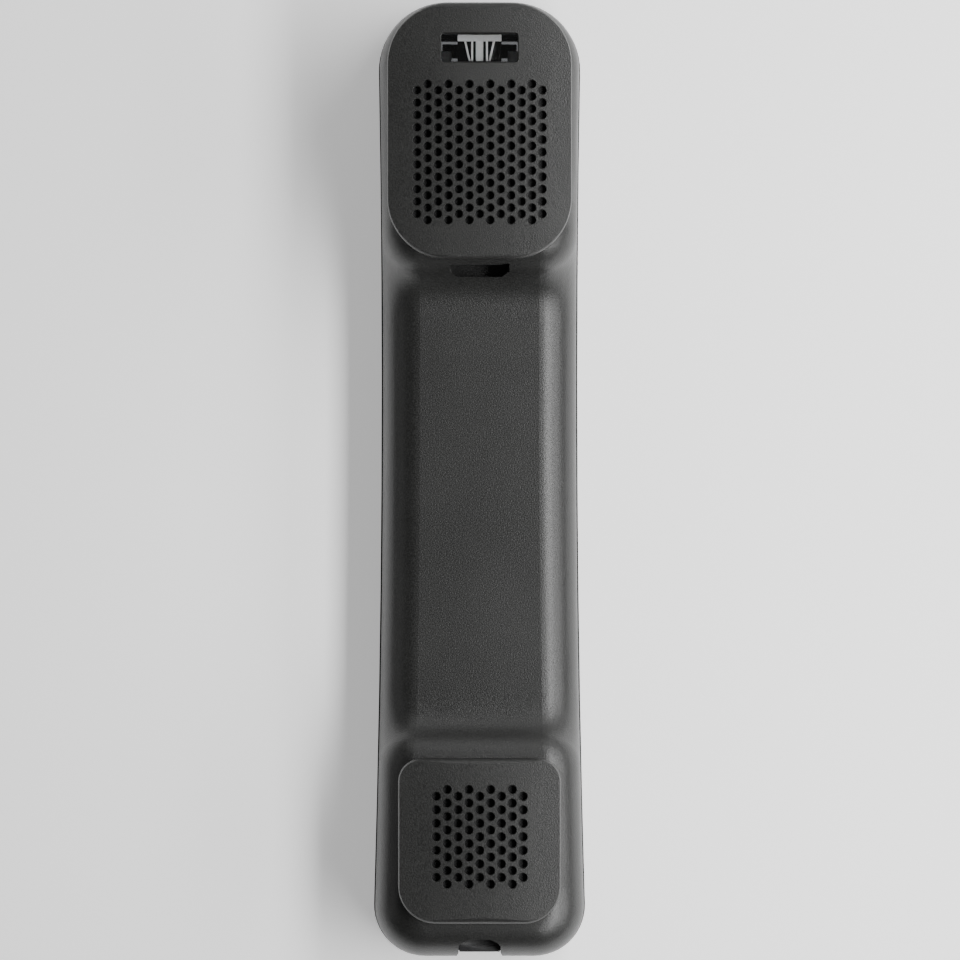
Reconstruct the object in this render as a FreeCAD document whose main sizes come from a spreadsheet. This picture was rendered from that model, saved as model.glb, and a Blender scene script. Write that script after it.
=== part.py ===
"""Telephone handset, lying on its back with its face up.

+Y runs from the mouthpiece (with the cord socket) to the earpiece, +X across the width and +Z out of
the face. The origin is the middle of the back. Lengths are in millimetres.
"""

import FreeCAD, Part
import math
import os

import Sketcher

Vector = FreeCAD.Vector
doc = FreeCAD.newDocument("handset")

# ---------------------------------------------------------------- driving dimensions
SIZES = {
    # outline seen from the face
    "length": 205.0,
    "grip_width": 42.1,
    "mouth_width": 45.4,
    "waist_y": 20.0,
    "mouth_widest_gap": 11.0,
    "ear_corner": 14.5,
    "mouth_corner": 11.0,
    # heights above the back
    "parting_height": 11.0,
    "grip_height": 20.0,
    "ear_shoulder": 33.0,
    "mouth_shoulder": 28.0,
    "ear_face": 37.0,
    "mouth_face": 32.0,
    "back_rise": 3.5,
    "back_flat_half": 45.0,
    # sweeps between the grip and the two ends
    "ear_foot_gap": 69.5,
    "mouth_foot_gap": 57.5,
    "foot_round": 13.0,
    "crest_round": 11.0,
    "edge_round": 8.0,
    "back_round": 6.0,
    # walls and joints of the two shells
    "wall": 2.0,
    "shell_step": 0.3,
    "lip_height": 2.2,
    "lip_clearance": 0.15,
    "lip_root": 1.0,
    "snap_width": 5.0,
    "snap_thickness": 1.6,
    "snap_reach": 3.5,
    "snap_mouth_gap": 38.5,
    "snap_middle_gap": 96.5,
    "snap_ear_gap": 66.5,
    # earpiece pod
    "ear_pod_half": 19.7,
    "ear_pod_reach": 55.5,
    "ear_pod_end_gap": 0.6,
    "ear_pod_corner": 13.0,
    "pod_edge": 1.4,
    "face_crown_radius": 260.0,
    # mouthpiece pod
    "mouth_pod_half": 17.4,
    "mouth_pod_gap": 7.5,
    "mouth_pod_reach": 42.9,
    "mouth_pod_corner": 8.0,
    "mouth_pod_top_corner": 5.0,
    # sound holes
    "ear_centre_gap": 32.6,
    "hole_bevel": 0.16,
    "ear_hole": 1.68,
    "ear_pitch_x": 2.235,
    "ear_pitch_y": 2.64,
    "mouth_centre_gap": 26.1,
    "mouth_hole": 1.78,
    "mouth_pitch_x": 2.327,
    "mouth_pitch_y": 2.89,
    # cloths and the ribs round them
    "ear_cloth_half_x": 15.2,
    "ear_cloth_half_y": 16.6,
    "mouth_cloth_half_x": 10.5,
    "mouth_cloth_half_y": 11.4,
    "cloth_corner": 2.5,
    "rib": 1.0,
    "ear_rib_depth": 3.0,
    "mouth_rib_depth": 2.4,
    # lamp window, light guide and lens
    "window_gap": 10.3,
    "window_length": 16.3,
    "window_width": 6.0,
    "window_corner": 0.6,
    "window_bevel": 0.35,
    "window_set_back": 0.7,
    "window_thickness": 1.6,
    "window_flange": 0.8,
    "lens_length": 18.0,
    "lens_width": 4.4,
    "lens_flange": 1.0,
    "lens_flange_thickness": 1.0,
    "lens_stand": 0.4,
    "guide_gap": 0.2,
    "guide_bar_half": 4.7,
    "guide_bar_low": 1.4,
    "guide_column_half": 0.8,
    "guide_relief": 5.6,
    "guide_floor": 2.2,
    "guide_stem_half": 3.0,
    "guide_stem_width": 3.0,
    "guide_foot": 2.0,
    "guide_rib": 0.45,
    "guide_upright_x": 1.35,
    "guide_raking_foot": 1.9,
    "guide_raking_head": 2.9,
    # wall-hook recess
    "hook_length": 12.8,
    "hook_gap": 1.0,
    "hook_width": 2.6,
    "hook_corner_cut": 1.6,
    "hook_floor": 18.4,
    "hook_shelf": 25.0,
    "hook_ceiling": 29.4,
    "hook_reach": 2.2,
    "hook_wall": 1.2,
    # receiver
    "receiver_diameter": 30.6,
    "receiver_wall": 1.2,
    "gasket_thickness": 1.2,
    "gasket_cover": 2.3,
    "cloth_thickness": 0.3,
    "grille_thickness": 0.6,
    "grille_hole": 2.0,
    "grille_inner_circle": 4.5,
    "grille_outer_circle": 9.0,
    "terminal_half": 5.0,
    "terminal_gap": 0.6,
    "terminal_thickness": 0.8,
    "basket_depth": 6.9,
    "yoke_margin": 5.0,
    "yoke_depth": 6.0,
    "yoke_wall": 1.2,
    "magnet_margin": 7.4,
    "magnet_thickness": 3.2,
    "pole_thickness": 1.0,
    "coil_inner_margin": 7.0,
    "coil_outer_margin": 6.6,
    "coil_length": 4.0,
    "diaphragm_margin": 3.8,
    "diaphragm_gap": 0.2,
    "ledge_cover": 1.0,
    "ledge_rise": 3.8,
    "diaphragm_film": 0.25,
    "dome_rise": 1.2,
    "clamp_thickness": 1.2,
    "clamp_boss_x": 11.5,
    "clamp_boss_y": 19.3,
    "plate_margin": 2.6,
    "clamp_slot_half": 6.0,
    "clamp_slot_gap": 0.4,
    "clamp_window_margin": 4.0,
    # microphone
    "mic_diameter": 9.7,
    "mic_height": 4.5,
    "boot_diameter": 14.0,
    "boot_height": 7.1,
    "boot_flange": 1.4,
    "boot_port": 3.0,
    "mic_port": 1.0,
    "mic_port_circle": 1.6,
    "mic_port_depth": 0.4,
    "mic_board_thickness": 0.8,
    "retainer_thickness": 1.5,
    "retainer_boss_x": 13.1,
    "retainer_half": 5.0,
    "retainer_corner": 2.4,
    "retainer_ledge": 1.2,
    # fasteners
    "boss_radius": 2.2,
    "screw_radius": 1.0,
    "screw_head_radius": 1.8,
    "screw_head_height": 1.2,
    "screw_length": 6.0,
    "short_screw": 2.2,
    "drive_half": 1.2,
    "drive_width": 0.5,
    "drive_depth": 0.6,
    "washer_thickness": 0.5,
    "washer_width": 1.6,
    "thread_clearance": 0.05,
    "pilot_spare": 0.3,
    "past": 1.0,
    # ballast
    "ballast_half": 13.5,
    "ballast_length": 33.0,
    "ballast_thickness": 6.0,
    "ballast_middle_y": -6.0,
    "ballast_gap": 3.0,
    "ballast_corner": 1.5,
    "boss_set_down": 0.2,
    "pad_thickness": 1.0,
    "pad_inset": 1.5,
    "pad_corner": 1.0,
    "rib_thickness": 1.2,
    "rib_gap": 1.0,
    # cord socket
    "jack_half": 5.2,
    "jack_length": 13.0,
    "jack_stand": 5.0,
    "jack_tall": 10.2,
    "jack_end_gap": 1.1,
    "plug_half": 3.9,
    "plug_sill": 1.4,
    "plug_tall": 6.8,
    "key_half": 1.7,
    "key_tall": 1.4,
    "jack_front_wall": 1.4,
    "notch_half": 4.5,
    "notch_flare": 0.5,
    "arch_depth": 2.8,
    "arch_step": 1.5,
    "arch_half": 2.3,
    "latch_window": 3.0,
    "pin_set_back": 5.0,
    "pin_tail": 0.6,
    "contact_pitch": 1.02,
    "contact_radius": 0.22,
    "contact_length": 6.0,
    "contact_angle": 16.0,
    "contact_clearance": 0.08,
    "board_half": 12.0,
    "board_thickness": 1.2,
    "board_end_gap": 5.0,
    "board_length": 20.0,
    "board_screw_low": 4.5,
    "board_screw_high": 3.5,
    # connectors and leads
    "plug_place": 4.0,
    "plug_gap": 1.2,
    "plug_width": 5.8,
    "plug_depth": 4.0,
    "plug_height": 4.0,
    "plug_slot_width": 2.4,
    "plug_slot_depth": 0.8,
    "plug_slot_low": 2.4,
    "lead_diameter": 1.1,
    "lead_half_pitch": 0.8,
    "lead_lift": 2.0,
    "fit": 0.15,
}

DERIVED = {
    # places along Y, worked out from the nearer end
    "mouth_widest_y": "mouth_widest_gap - length / 2",
    "ear_foot_y": "length / 2 - ear_foot_gap",
    "mouth_foot_y": "mouth_foot_gap - length / 2",
    "ear_pod_low": "length / 2 - ear_pod_reach",
    "mouth_pod_low": "mouth_pod_gap - length / 2",
    "mouth_pod_high": "mouth_pod_reach - length / 2",
    "ear_centre_y": "length / 2 - ear_centre_gap",
    "mouth_centre_y": "mouth_centre_gap - length / 2",
    "window_y": "length / 2 - window_gap",
    "window_low_y": "window_y - window_width / 2",
    "window_high_y": "window_y + window_width / 2",
    "hook_high_y": "ear_pod_low - hook_gap",
    "hook_low_y": "hook_high_y - hook_width",
    "board_low_y": "board_end_gap - length / 2",
    "board_high_y": "board_low_y + board_length",
    "jack_face_y": "jack_end_gap - length / 2",
    "jack_back_y": "jack_face_y + jack_length",
    "jack_shoulder_y": "wall + shell_step + fit - length / 2",
    "pin_y": "jack_face_y + pin_set_back",
    "ballast_upper_y": "(ballast_middle_y + (ballast_length + ballast_gap) / 2)",
    "ballast_lower_y": "(ballast_middle_y - (ballast_length + ballast_gap) / 2)",
    "ballast_screw_y": "ballast_length / 3",
    # levels of the cord socket, which stands on the back's wall
    "jack_floor": "wall + jack_stand",
    "plug_low": "jack_floor + plug_sill",
    # diameters inside the receiver, which follow its basket
    "diaphragm_diameter": "receiver_diameter - diaphragm_margin * 2",
    "coil_outer": "receiver_diameter - coil_outer_margin * 2",
    "coil_inner": "receiver_diameter - coil_inner_margin * 2",
    "magnet_diameter": "receiver_diameter - magnet_margin * 2",
    "yoke_diameter": "receiver_diameter - yoke_margin * 2",
}

sheet = doc.addObject("Spreadsheet::Sheet", "dims")
for row, (alias, size) in enumerate(SIZES.items(), start=1):
    sheet.set(f"A{row}", alias)
    sheet.set(f"B{row}", str(size))
    sheet.setAlias(f"B{row}", alias)
doc.recompute()


def expression(text):
    """The same formula with derived names worked out and every size name pointing at the sheet."""
    words = []
    word = ""
    for letter in str(text) + " ":
        if letter.isalnum() or letter in "_.":
            word += letter
            continue
        if word in DERIVED:
            word = f"({expression(DERIVED[word])})"
        words.append("dims." + word if word in SIZES else word)
        words.append(letter)
        word = ""
    return "".join(words).strip()


def number(text):
    """The present value of a formula."""
    return float(sheet.evalExpression(expression(text)))


def bind(item, prop, text):
    item.setExpression(prop, expression(text))


# ---------------------------------------------------------------- solids bound to the sheet
def place(item, x, y, z):
    bind(item, "Placement.Base.x", x)
    bind(item, "Placement.Base.y", y)
    bind(item, "Placement.Base.z", z)
    return item


def box(name, x0, x1, y0, y1, z0, z1):
    item = doc.addObject("Part::Box", name)
    bind(item, "Length", f"({x1}) - ({x0})")
    bind(item, "Width", f"({y1}) - ({y0})")
    bind(item, "Height", f"({z1}) - ({z0})")
    return place(item, x0, y0, z0)


def cylinder(name, x, y, z0, z1, radius):
    item = doc.addObject("Part::Cylinder", name)
    bind(item, "Radius", radius)
    bind(item, "Height", f"({z1}) - ({z0})")
    return place(item, x, y, z0)


def join(name, pieces):
    item = doc.addObject("Part::MultiFuse", name)
    item.Shapes = pieces
    return item


def remove(name, base, tools):
    item = doc.addObject("Part::Cut", name)
    item.Base = base
    item.Tool = tools[0] if len(tools) == 1 else join(name + "_tools", tools)
    return item


def overlap(name, first, second):
    item = doc.addObject("Part::Common", name)
    item.Base = first
    item.Tool = second
    return item


def ring(name, x, y, z0, z1, outer, inner):
    solid = cylinder(name + "_outer", x, y, z0, z1, outer)
    hole = cylinder(name + "_hole", x, y, f"({z0}) - past", f"({z1}) + past", inner)
    return remove(name, solid, [hole])


# ---------------------------------------------------------------- sketches and bodies
def new_body(name):
    return doc.addObject("PartDesign::Body", name)


def new_sketch(body, name, role, offset="0"):
    sketch = body.newObject("Sketcher::SketchObject", name)
    plane = next(f for f in body.Origin.OriginFeatures if f.Role == role)
    sketch.AttachmentSupport = (plane, [""])
    sketch.MapMode = "FlatFace"
    bind(sketch, "AttachmentOffset.Base.z", offset)
    return sketch


def close_loop(sketch, pieces):
    """Adds the pieces of one closed outline and ties each end to the next start."""
    ids = [sketch.addGeometry(piece, False) for piece, forwards in pieces]
    for index, (piece, forwards) in enumerate(pieces):
        after = (index + 1) % len(pieces)
        end = 2 if forwards else 1
        start = 1 if pieces[after][1] else 2
        sketch.addConstraint(Sketcher.Constraint("Coincident", ids[index], end, ids[after], start))
    return ids


def line(start, end):
    return (Part.LineSegment(Vector(*start, 0), Vector(*end, 0)), True)


def arc(centre, radius, first, last, forwards=True):
    """An arc from angle first to angle last (degrees, anticlockwise)."""
    circle = Part.Circle(Vector(*centre, 0), Vector(0, 0, 1), radius)
    return (Part.ArcOfCircle(circle, math.radians(first), math.radians(last)), forwards)


def rounded_rectangle(sketch, x0, x1, y0, y1, low_corner, high_corner):
    """A rectangle with its own corner radius at the low and at the high edge."""
    left, right, low, high = number(x0), number(x1), number(y0), number(y1)
    r, t = number(low_corner), number(high_corner)
    ids = close_loop(sketch, [
        line((left + r, low), (right - r, low)),
        arc((right - r, low + r), r, -90, 0),
        line((right, low + r), (right, high - t)),
        arc((right - t, high - t), t, 0, 90),
        line((right - t, high), (left + t, high)),
        arc((left + t, high - t), t, 90, 180),
        line((left, high - t), (left, low + r)),
        arc((left + r, low + r), r, 180, 270),
    ])
    for corner, radius in ((1, low_corner), (7, low_corner), (3, high_corner), (5, high_corner)):
        index = sketch.addConstraint(Sketcher.Constraint("Radius", ids[corner], number(radius)))
        bind(sketch, f"Constraints[{index}]", radius)


def pad(body, name, sketch, height):
    feature = body.newObject("PartDesign::Pad", name)
    feature.Profile = sketch
    bind(feature, "Length", height)
    return feature


def cut_away(body, name, sketch):
    """A pocket through everything, both ways from its sketch."""
    feature = body.newObject("PartDesign::Pocket", name)
    feature.Profile = sketch
    feature.SideType = "Symmetric"
    feature.Type = "Length"
    bind(feature, "Length", "length * 2")
    return feature


def plate(name, x0, x1, y0, y1, z0, z1, corner, high_corner=None):
    body = new_body(name)
    sketch = new_sketch(body, name + "_outline", "XY_Plane", z0)
    rounded_rectangle(sketch, x0, x1, y0, y1, corner, high_corner or corner)
    pad(body, name + "_pad", sketch, f"({z1}) - ({z0})")
    return body


# ---------------------------------------------------------------- outline of the handset
def outline(sketch, inset):
    """The plan of the shells: square-set ends, slightly waisted sides, rounded corners."""
    i = number(inset)
    half = number("grip_width / 2")
    flare = number("mouth_width / 2") - half
    reach = number("waist_y - mouth_widest_y")
    side = (flare ** 2 + reach ** 2) / (2 * flare)
    hub = (half + side, number("waist_y"))
    end = number("length / 2")
    corners = {}
    for key, radius, sign in (("ear", number("ear_corner"), 1), ("mouth", number("mouth_corner"), -1)):
        y = sign * (end - radius)
        x = hub[0] - math.sqrt((side + radius) ** 2 - (hub[1] - y) ** 2)
        turn = math.atan2(hub[1] - y, hub[0] - x)
        corners[key] = ((x, y), radius - i, math.degrees(turn))
    (ear, ear_r, ear_turn) = corners["ear"]
    (mouth, mouth_r, mouth_turn) = corners["mouth"]
    from_ear = 180 + ear_turn
    from_mouth = 180 + mouth_turn
    left_hub = (-hub[0], hub[1])
    close_loop(sketch, [
        line((-mouth[0], -end + i), (mouth[0], -end + i)),
        arc(mouth, mouth_r, -90, mouth_turn),
        arc(hub, side + i, from_ear, from_mouth, False),
        arc(ear, ear_r, ear_turn, 90),
        line((ear[0], end - i), (-ear[0], end - i)),
        arc((-ear[0], ear[1]), ear_r, 90, 180 - ear_turn),
        arc(left_hub, side + i, 180 - from_mouth, 180 - from_ear, False),
        arc((-mouth[0], mouth[1]), mouth_r, 180 - mouth_turn, 270),
    ])


def ess(foot, low, high, foot_r, crest_r, way):
    """Two tangent arcs that climb from (foot, low) to the level high; way is +1 or -1 along Y.

    Gives the foot arc's centre, the crest arc's centre and the steepest angle.
    """
    steep = math.degrees(math.acos(1 - (high - low) / (foot_r + crest_r)))
    run = (foot_r + crest_r) * math.sin(math.radians(steep))
    return (foot, low + foot_r), (foot + way * run, high - crest_r), steep


def top_profile(sketch, inset):
    """Everything above the face side of the shells: grip, two sweeps and two shoulders."""
    i = number(inset)
    far = number("length")
    sky = number("ear_face * 2")
    grip = number("grip_height") - i
    ear = number("ear_shoulder") - i
    mouth = number("mouth_shoulder") - i
    foot_r = number("foot_round") + i
    crest_r = number("crest_round") - i
    ear_foot, ear_crest, ear_steep = ess(number("ear_foot_y"), grip, ear, foot_r, crest_r, 1)
    mouth_foot, mouth_crest, mouth_steep = ess(number("mouth_foot_y"), grip, mouth, foot_r, crest_r, -1)
    close_loop(sketch, [
        line((-far, sky), (-far, mouth)),
        line((-far, mouth), (mouth_crest[0], mouth)),
        arc(mouth_crest, crest_r, 90 - mouth_steep, 90, False),
        arc(mouth_foot, foot_r, 270 - mouth_steep, 270),
        line((mouth_foot[0], grip), (ear_foot[0], grip)),
        arc(ear_foot, foot_r, 270, 270 + ear_steep),
        arc(ear_crest, crest_r, 90, 90 + ear_steep, False),
        line((ear_crest[0], ear), (far, ear)),
        line((far, ear), (far, sky)),
        line((far, sky), (-far, sky)),
    ])


def back_profile(sketch, inset):
    """Everything below the back: a flat middle whose two ends curve up."""
    i = number(inset)
    half = number("back_flat_half")
    reach = number("length / 2") - half
    rise = number("back_rise")
    radius = (reach ** 2 + rise ** 2) / (2 * rise)
    turn = math.degrees(math.asin((reach + number("mouth_width") / 5) / radius))
    deep = -number("ear_face")
    tip_r = radius - i
    tip_y = half + tip_r * math.sin(math.radians(turn))
    tip_z = i + tip_r * (1 - math.cos(math.radians(turn)))
    close_loop(sketch, [
        line((-tip_y, deep), (tip_y, deep)),
        line((tip_y, deep), (tip_y, tip_z)),
        arc((half, i + tip_r), tip_r, 270, 270 + turn, False),
        line((half, i), (-half, i)),
        arc((-half, i + tip_r), tip_r, 270 - turn, 270, False),
        line((-tip_y, tip_z), (-tip_y, deep)),
    ])


def rim_edges(shape, upwards):
    """The edges where the side wall meets the face side (or the back) of a shell form."""
    found = []
    for index, edge in enumerate(shape.Edges, start=1):
        kinds = set()
        for face in shape.ancestorsOfType(edge, Part.Face):
            u0, u1, v0, v1 = face.ParameterRange
            normal = face.normalAt((u0 + u1) / 2, (v0 + v1) / 2)
            if abs(normal.z) < 1e-6:
                kinds.add("side")
            elif abs(normal.x) < 1e-6 and normal.z * upwards > 0:
                kinds.add("skin")
        if kinds == {"side", "skin"}:
            found.append(f"Edge{index}")
    return found


def round_edges(body, name, base, edges, radius):
    feature = body.newObject("PartDesign::Fillet", name)
    feature.Base = (base, edges)
    bind(feature, "Radius", radius)
    return feature


def top_edges(shape, height):
    """The edges lying flat at one height."""
    found = []
    for index, edge in enumerate(shape.Edges, start=1):
        limits = edge.BoundBox
        if abs(limits.ZMin - height) < 1e-4 and abs(limits.ZMax - height) < 1e-4:
            found.append(f"Edge{index}")
    return found


def pod(name, x_half, y0, y1, face, low_corner, high_corner, inset):
    """One raised pod: a rounded rectangle with a softened edge and a gently crowned face."""
    body = plate(name, f"-({x_half} - {inset})", f"{x_half} - {inset}", f"{y0} + {inset}",
                 f"{y1} - {inset}", "parting_height", f"{face} - {inset}",
                 f"{low_corner} - {inset}", f"{high_corner} - {inset}")
    doc.recompute()
    if inset != "0":
        return body
    round_edges(body, name + "_edge", body.Tip, top_edges(body.Shape, number(face)), "pod_edge")
    crown = new_sketch(body, name + "_crown", "XZ_Plane")
    radius = number("face_crown_radius")
    height = number(face)
    reach = number("mouth_width")
    spread = math.degrees(math.asin(reach / radius))
    drop = radius * math.cos(math.radians(spread)) + height - radius
    close_loop(crown, [
        arc((0, height - radius), radius, 90 - spread, 90 + spread),
        line((-reach, drop), (-reach, height * 2)),
        line((-reach, height * 2), (reach, height * 2)),
        line((reach, height * 2), (reach, drop)),
    ])
    cut_away(body, name + "_crown_cut", crown)
    return body


def shell_form(name, inset, upwards):
    """A solid of one shell's outside (or, with an inset, of the space inside it)."""
    body = new_body(name)
    deep = "0" if inset in ("shell_step", "0") else "wall"
    step = "shell_step" if upwards > 0 else "0"
    skin = f"({inset}) - ({step})"
    if upwards > 0:
        start, height = f"parting_height - {deep}", f"ear_face - parting_height + {deep}"
    else:
        start, height = "-ear_face", f"ear_face + parting_height + {deep}"
    plan = new_sketch(body, name + "_plan", "XY_Plane", start)
    outline(plan, inset)
    pad(body, name + "_pad", plan, height)
    side = new_sketch(body, name + "_side", "YZ_Plane")
    (top_profile if upwards > 0 else back_profile)(side, skin)
    cut_away(body, name + "_cut", side)
    doc.recompute()
    radius = f"edge_round - ({skin})" if upwards > 0 else f"back_round - ({skin})"
    round_edges(body, name + "_round", body.Tip, rim_edges(body.Shape, upwards), radius)
    return body


EAR_POD = ("ear_pod_half", "ear_pod_low", "length / 2 - ear_pod_end_gap", "ear_face",
           "ear_pod_corner", "ear_pod_corner")
MOUTH_POD = ("mouth_pod_half", "mouth_pod_low", "mouth_pod_high", "mouth_face",
             "mouth_pod_corner", "mouth_pod_top_corner")

front_outer = shell_form("front_outer_form", "shell_step", 1)
front_inner = shell_form("front_inner_form", "wall + shell_step", 1)
rear_outer = shell_form("rear_outer_form", "0", -1)
rear_inner = shell_form("rear_inner_form", "wall", -1)
ear_pod = pod("ear_pod_form", *EAR_POD, "0")
ear_room = pod("ear_pod_room", *EAR_POD, "wall")
mouth_pod = pod("mouth_pod_form", *MOUTH_POD, "0")
mouth_room = pod("mouth_pod_room", *MOUTH_POD, "wall")
doc.recompute()


nodes = []


def node(item, name):
    """Marks a finished piece: its Label is the name of its file."""
    item.Label = name
    nodes.append(item)
    return item


# ---------------------------------------------------------------- heights inside the pods
EAR_ROOF = "ear_face - wall"
MOUTH_ROOF = "mouth_face - wall"
GASKET_TOP = f"{EAR_ROOF} - cloth_thickness"
CAP_TOP = f"{GASKET_TOP} - gasket_thickness"
BASKET_TOP = f"{CAP_TOP} - grille_thickness"
BASKET_FLOOR = f"{BASKET_TOP} - basket_depth"
YOKE_TOP = f"{BASKET_FLOOR} + yoke_wall * 2"
YOKE_BACK = f"{YOKE_TOP} - yoke_depth"
CLAMP_BACK = f"{YOKE_BACK} - clamp_thickness"
BOOT_TOP = f"{MOUTH_ROOF} - cloth_thickness"
BOOT_BACK = f"{BOOT_TOP} - boot_height"
RETAINER_BACK = f"{BOOT_BACK} - retainer_thickness"
BOARD_TOP = "jack_floor"
BOARD_BACK = "jack_floor - board_thickness"
JACK_TOP = "jack_floor + jack_tall"
BALLAST_BACK = "wall + pad_thickness"
BALLAST_TOP = f"{BALLAST_BACK} + ballast_thickness"
HOLLOW_SCREW = "screw_radius + thread_clearance"


def hole_grid(name, columns, tall, pitch_x, pitch_y, hole, centre, z0, face):
    """Cutters for a staggered grid of sound holes, each softened where it meets the crowned face.

    Odd columns hold one hole fewer than even ones.
    """
    across, along, radius = number(pitch_x), number(pitch_y), number(hole) / 2
    low, bevel, crown = number(z0), number("hole_bevel"), number("face_crown_radius")
    cutters = []
    for column in range(columns):
        count = tall - 1 + column % 2
        x = (column - (columns - 1) / 2) * across
        skin = number(face) - crown + math.sqrt(crown ** 2 - x ** 2)
        wide = radius + bevel * 2
        section = Part.makePolygon([
            Vector(0, 0, low), Vector(radius, 0, low), Vector(radius, 0, skin - bevel),
            Vector(wide, 0, skin + bevel), Vector(0, 0, skin + bevel), Vector(0, 0, low),
        ])
        cutter = Part.Face(section).revolve(Vector(0, 0, 0), Vector(0, 0, 1), 360)
        for place_in_column in range(count):
            y = number(centre) + (place_in_column - (count - 1) / 2) * along
            cutters.append(cutter.translated(Vector(x, y, 0)))
    item = doc.addObject("Part::Feature", name)
    item.Shape = Part.makeCompound(cutters)
    return item


def outline_plate(name, inset, z0, z1):
    body = new_body(name)
    sketch = new_sketch(body, name + "_plan", "XY_Plane", z0)
    outline(sketch, inset)
    pad(body, name + "_pad", sketch, f"({z1}) - ({z0})")
    return body


def boss(name, x, y, z0, z1):
    return cylinder(name, x, y, z0, z1, "boss_radius")


# ---------------------------------------------------------------- cord-socket notch
def notch(name):
    """The gap in the end wall: flared at the outside, stepped like an arch at its inner end."""
    body = new_body(name)
    sketch = new_sketch(body, name + "_plan", "XY_Plane", "-wall")
    end = -number("length / 2")
    face = end + number("jack_end_gap")
    outside = end - number("past")
    wide, flare = number("notch_half"), number("notch_flare")
    step = face + number("jack_front_wall")
    deep = face + number("arch_depth")
    half, shelf = number("arch_half"), number("arch_step")
    side = [
        (wide + flare, outside), (wide + flare, end), (wide, face), (wide, step),
        (half + shelf, step + shelf / 2), (half + shelf / 2, deep - shelf / 4), (half, deep),
    ]
    points = side + [(-x, y) for x, y in reversed(side)]
    close_loop(sketch, [line(points[n], points[(n + 1) % len(points)]) for n in range(len(points))])
    pad(body, name + "_pad", sketch, "ear_face")
    return body


def end_groove(name):
    """The shallow groove that lets the socket's front stand back from the end of the shells."""
    body = new_body(name)
    sketch = new_sketch(body, name + "_plan", "XY_Plane", "-wall")
    end = -number("length / 2")
    face = end + number("jack_end_gap")
    outside = end - number("past")
    wide, flare = number("notch_half"), number("notch_flare")
    points = [(wide + flare, outside), (wide + flare, end), (wide, face)]
    points += [(-x, y) for x, y in reversed(points)]
    close_loop(sketch, [line(points[n], points[(n + 1) % len(points)]) for n in range(len(points))])
    pad(body, name + "_pad", sketch, "ear_face")
    return body


def hook_form(name, grow, z0, z1):
    """The mouth of the wall-hook recess (or its wall): an oblong with two cut corners, sunk along Z."""
    body = new_body(name)
    sketch = new_sketch(body, name + "_plan", "XY_Plane", z0)
    g = number(grow)
    cut = number("hook_corner_cut")
    half = number("hook_length / 2") + g
    high = number("hook_high_y") + g
    low = number("hook_low_y") - g
    points = [(half - cut, low), (half - cut / 3, low + cut / 2), (half, high)]
    points += [(-x, y) for x, y in reversed(points)]
    close_loop(sketch, [line(points[n], points[(n + 1) % len(points)]) for n in range(len(points))])
    pad(body, name + "_pad", sketch, f"({z1}) - ({z0})")
    return body


def hook_pocket(name, grow):
    """The part of the recess that runs back under the earpiece pod's front wall."""
    return box(name, f"-(hook_length / 2 + {grow})", f"hook_length / 2 + {grow}",
               "hook_high_y - hook_corner_cut", f"ear_pod_low + hook_reach + {grow}",
               f"hook_shelf - {grow}", f"hook_ceiling + {grow}")


# ---------------------------------------------------------------- front shell
def clamp_places():
    for tag, sx in (("left", -1), ("right", 1)):
        for end, sy in (("low", -1), ("high", 1)):
            yield f"{tag}_{end}", f"{sx} * clamp_boss_x", f"ear_centre_y + {sy} * clamp_boss_y"


def retainer_places():
    for tag, sx in (("left", -1), ("right", 1)):
        yield tag, f"{sx} * retainer_boss_x", "mouth_centre_y"


SNAP_YS = {"mouth": "(snap_mouth_gap - length / 2)", "middle": "(snap_middle_gap - length / 2)",
           "ear": "(length / 2 - snap_ear_gap)"}
SNAP_PLACES = [(f"{side}_{spot}", sign, y) for side, sign in (("left", -1), ("right", 1))
               for spot, y in SNAP_YS.items()]


def half_width(y):
    """Half the shells' outside width at one place along the waisted sides."""
    return (f"(grip_width / 2 + (mouth_width - grip_width) / 2"
            f" * (({y} - waist_y) / (mouth_widest_y - waist_y)) ^ 2)")


def snap_post(tag, sign, y):
    """A springy post on the inside of the front shell that reaches down past the lip."""
    wall_face = f"{half_width(y)} - shell_step - wall + lip_clearance"
    inner, outer = f"{wall_face} - snap_thickness", wall_face
    if sign < 0:
        inner, outer = f"-({outer})", f"-({inner})"
    return box(f"snap_{tag}", inner, outer, f"{y} - snap_width / 2", f"{y} + snap_width / 2",
               "parting_height - snap_reach", "parting_height + snap_reach")


lip = remove("front_lip", outline_plate("front_lip_outer", "wall / 2 + shell_step + lip_clearance / 2",
                                        "parting_height - lip_height + lip_clearance",
                                        "parting_height + lip_root"),
             [outline_plate("front_lip_room", "wall + shell_step", "parting_height - lip_height * 2",
                            "parting_height + lip_root * 2")])
front_skin = join("front_skin", [front_outer, ear_pod, mouth_pod])
front_hollow = join("front_hollow", [front_inner, ear_room, mouth_room])
front_walls = remove("front_walls", front_skin, [front_hollow])


def centred_plate(name, centre, half_x, half_y, grow, z0, z1, corner):
    """A rounded rectangle about a pod's centre, grown (or shrunk) all round."""
    return plate(name, f"-({half_x} + {grow})", f"{half_x} + {grow}", f"{centre} - {half_y} - ({grow})",
                 f"{centre} + {half_y} + ({grow})", z0, z1, corner)


def frame_rib(name, centre, half_x, half_y, roof, deep):
    """The rib round a pod's cloth and seal, moulded under the pod's roof."""
    block = centred_plate(name + "_block", centre, half_x, half_y, "fit + rib", f"{roof} - {deep}",
                          f"{roof} + wall / 2", "cloth_corner + rib")
    room = centred_plate(name + "_room", centre, half_x, half_y, "fit", f"{roof} - {deep} - past",
                         roof, "cloth_corner")
    return remove(name, block, [room])


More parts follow.
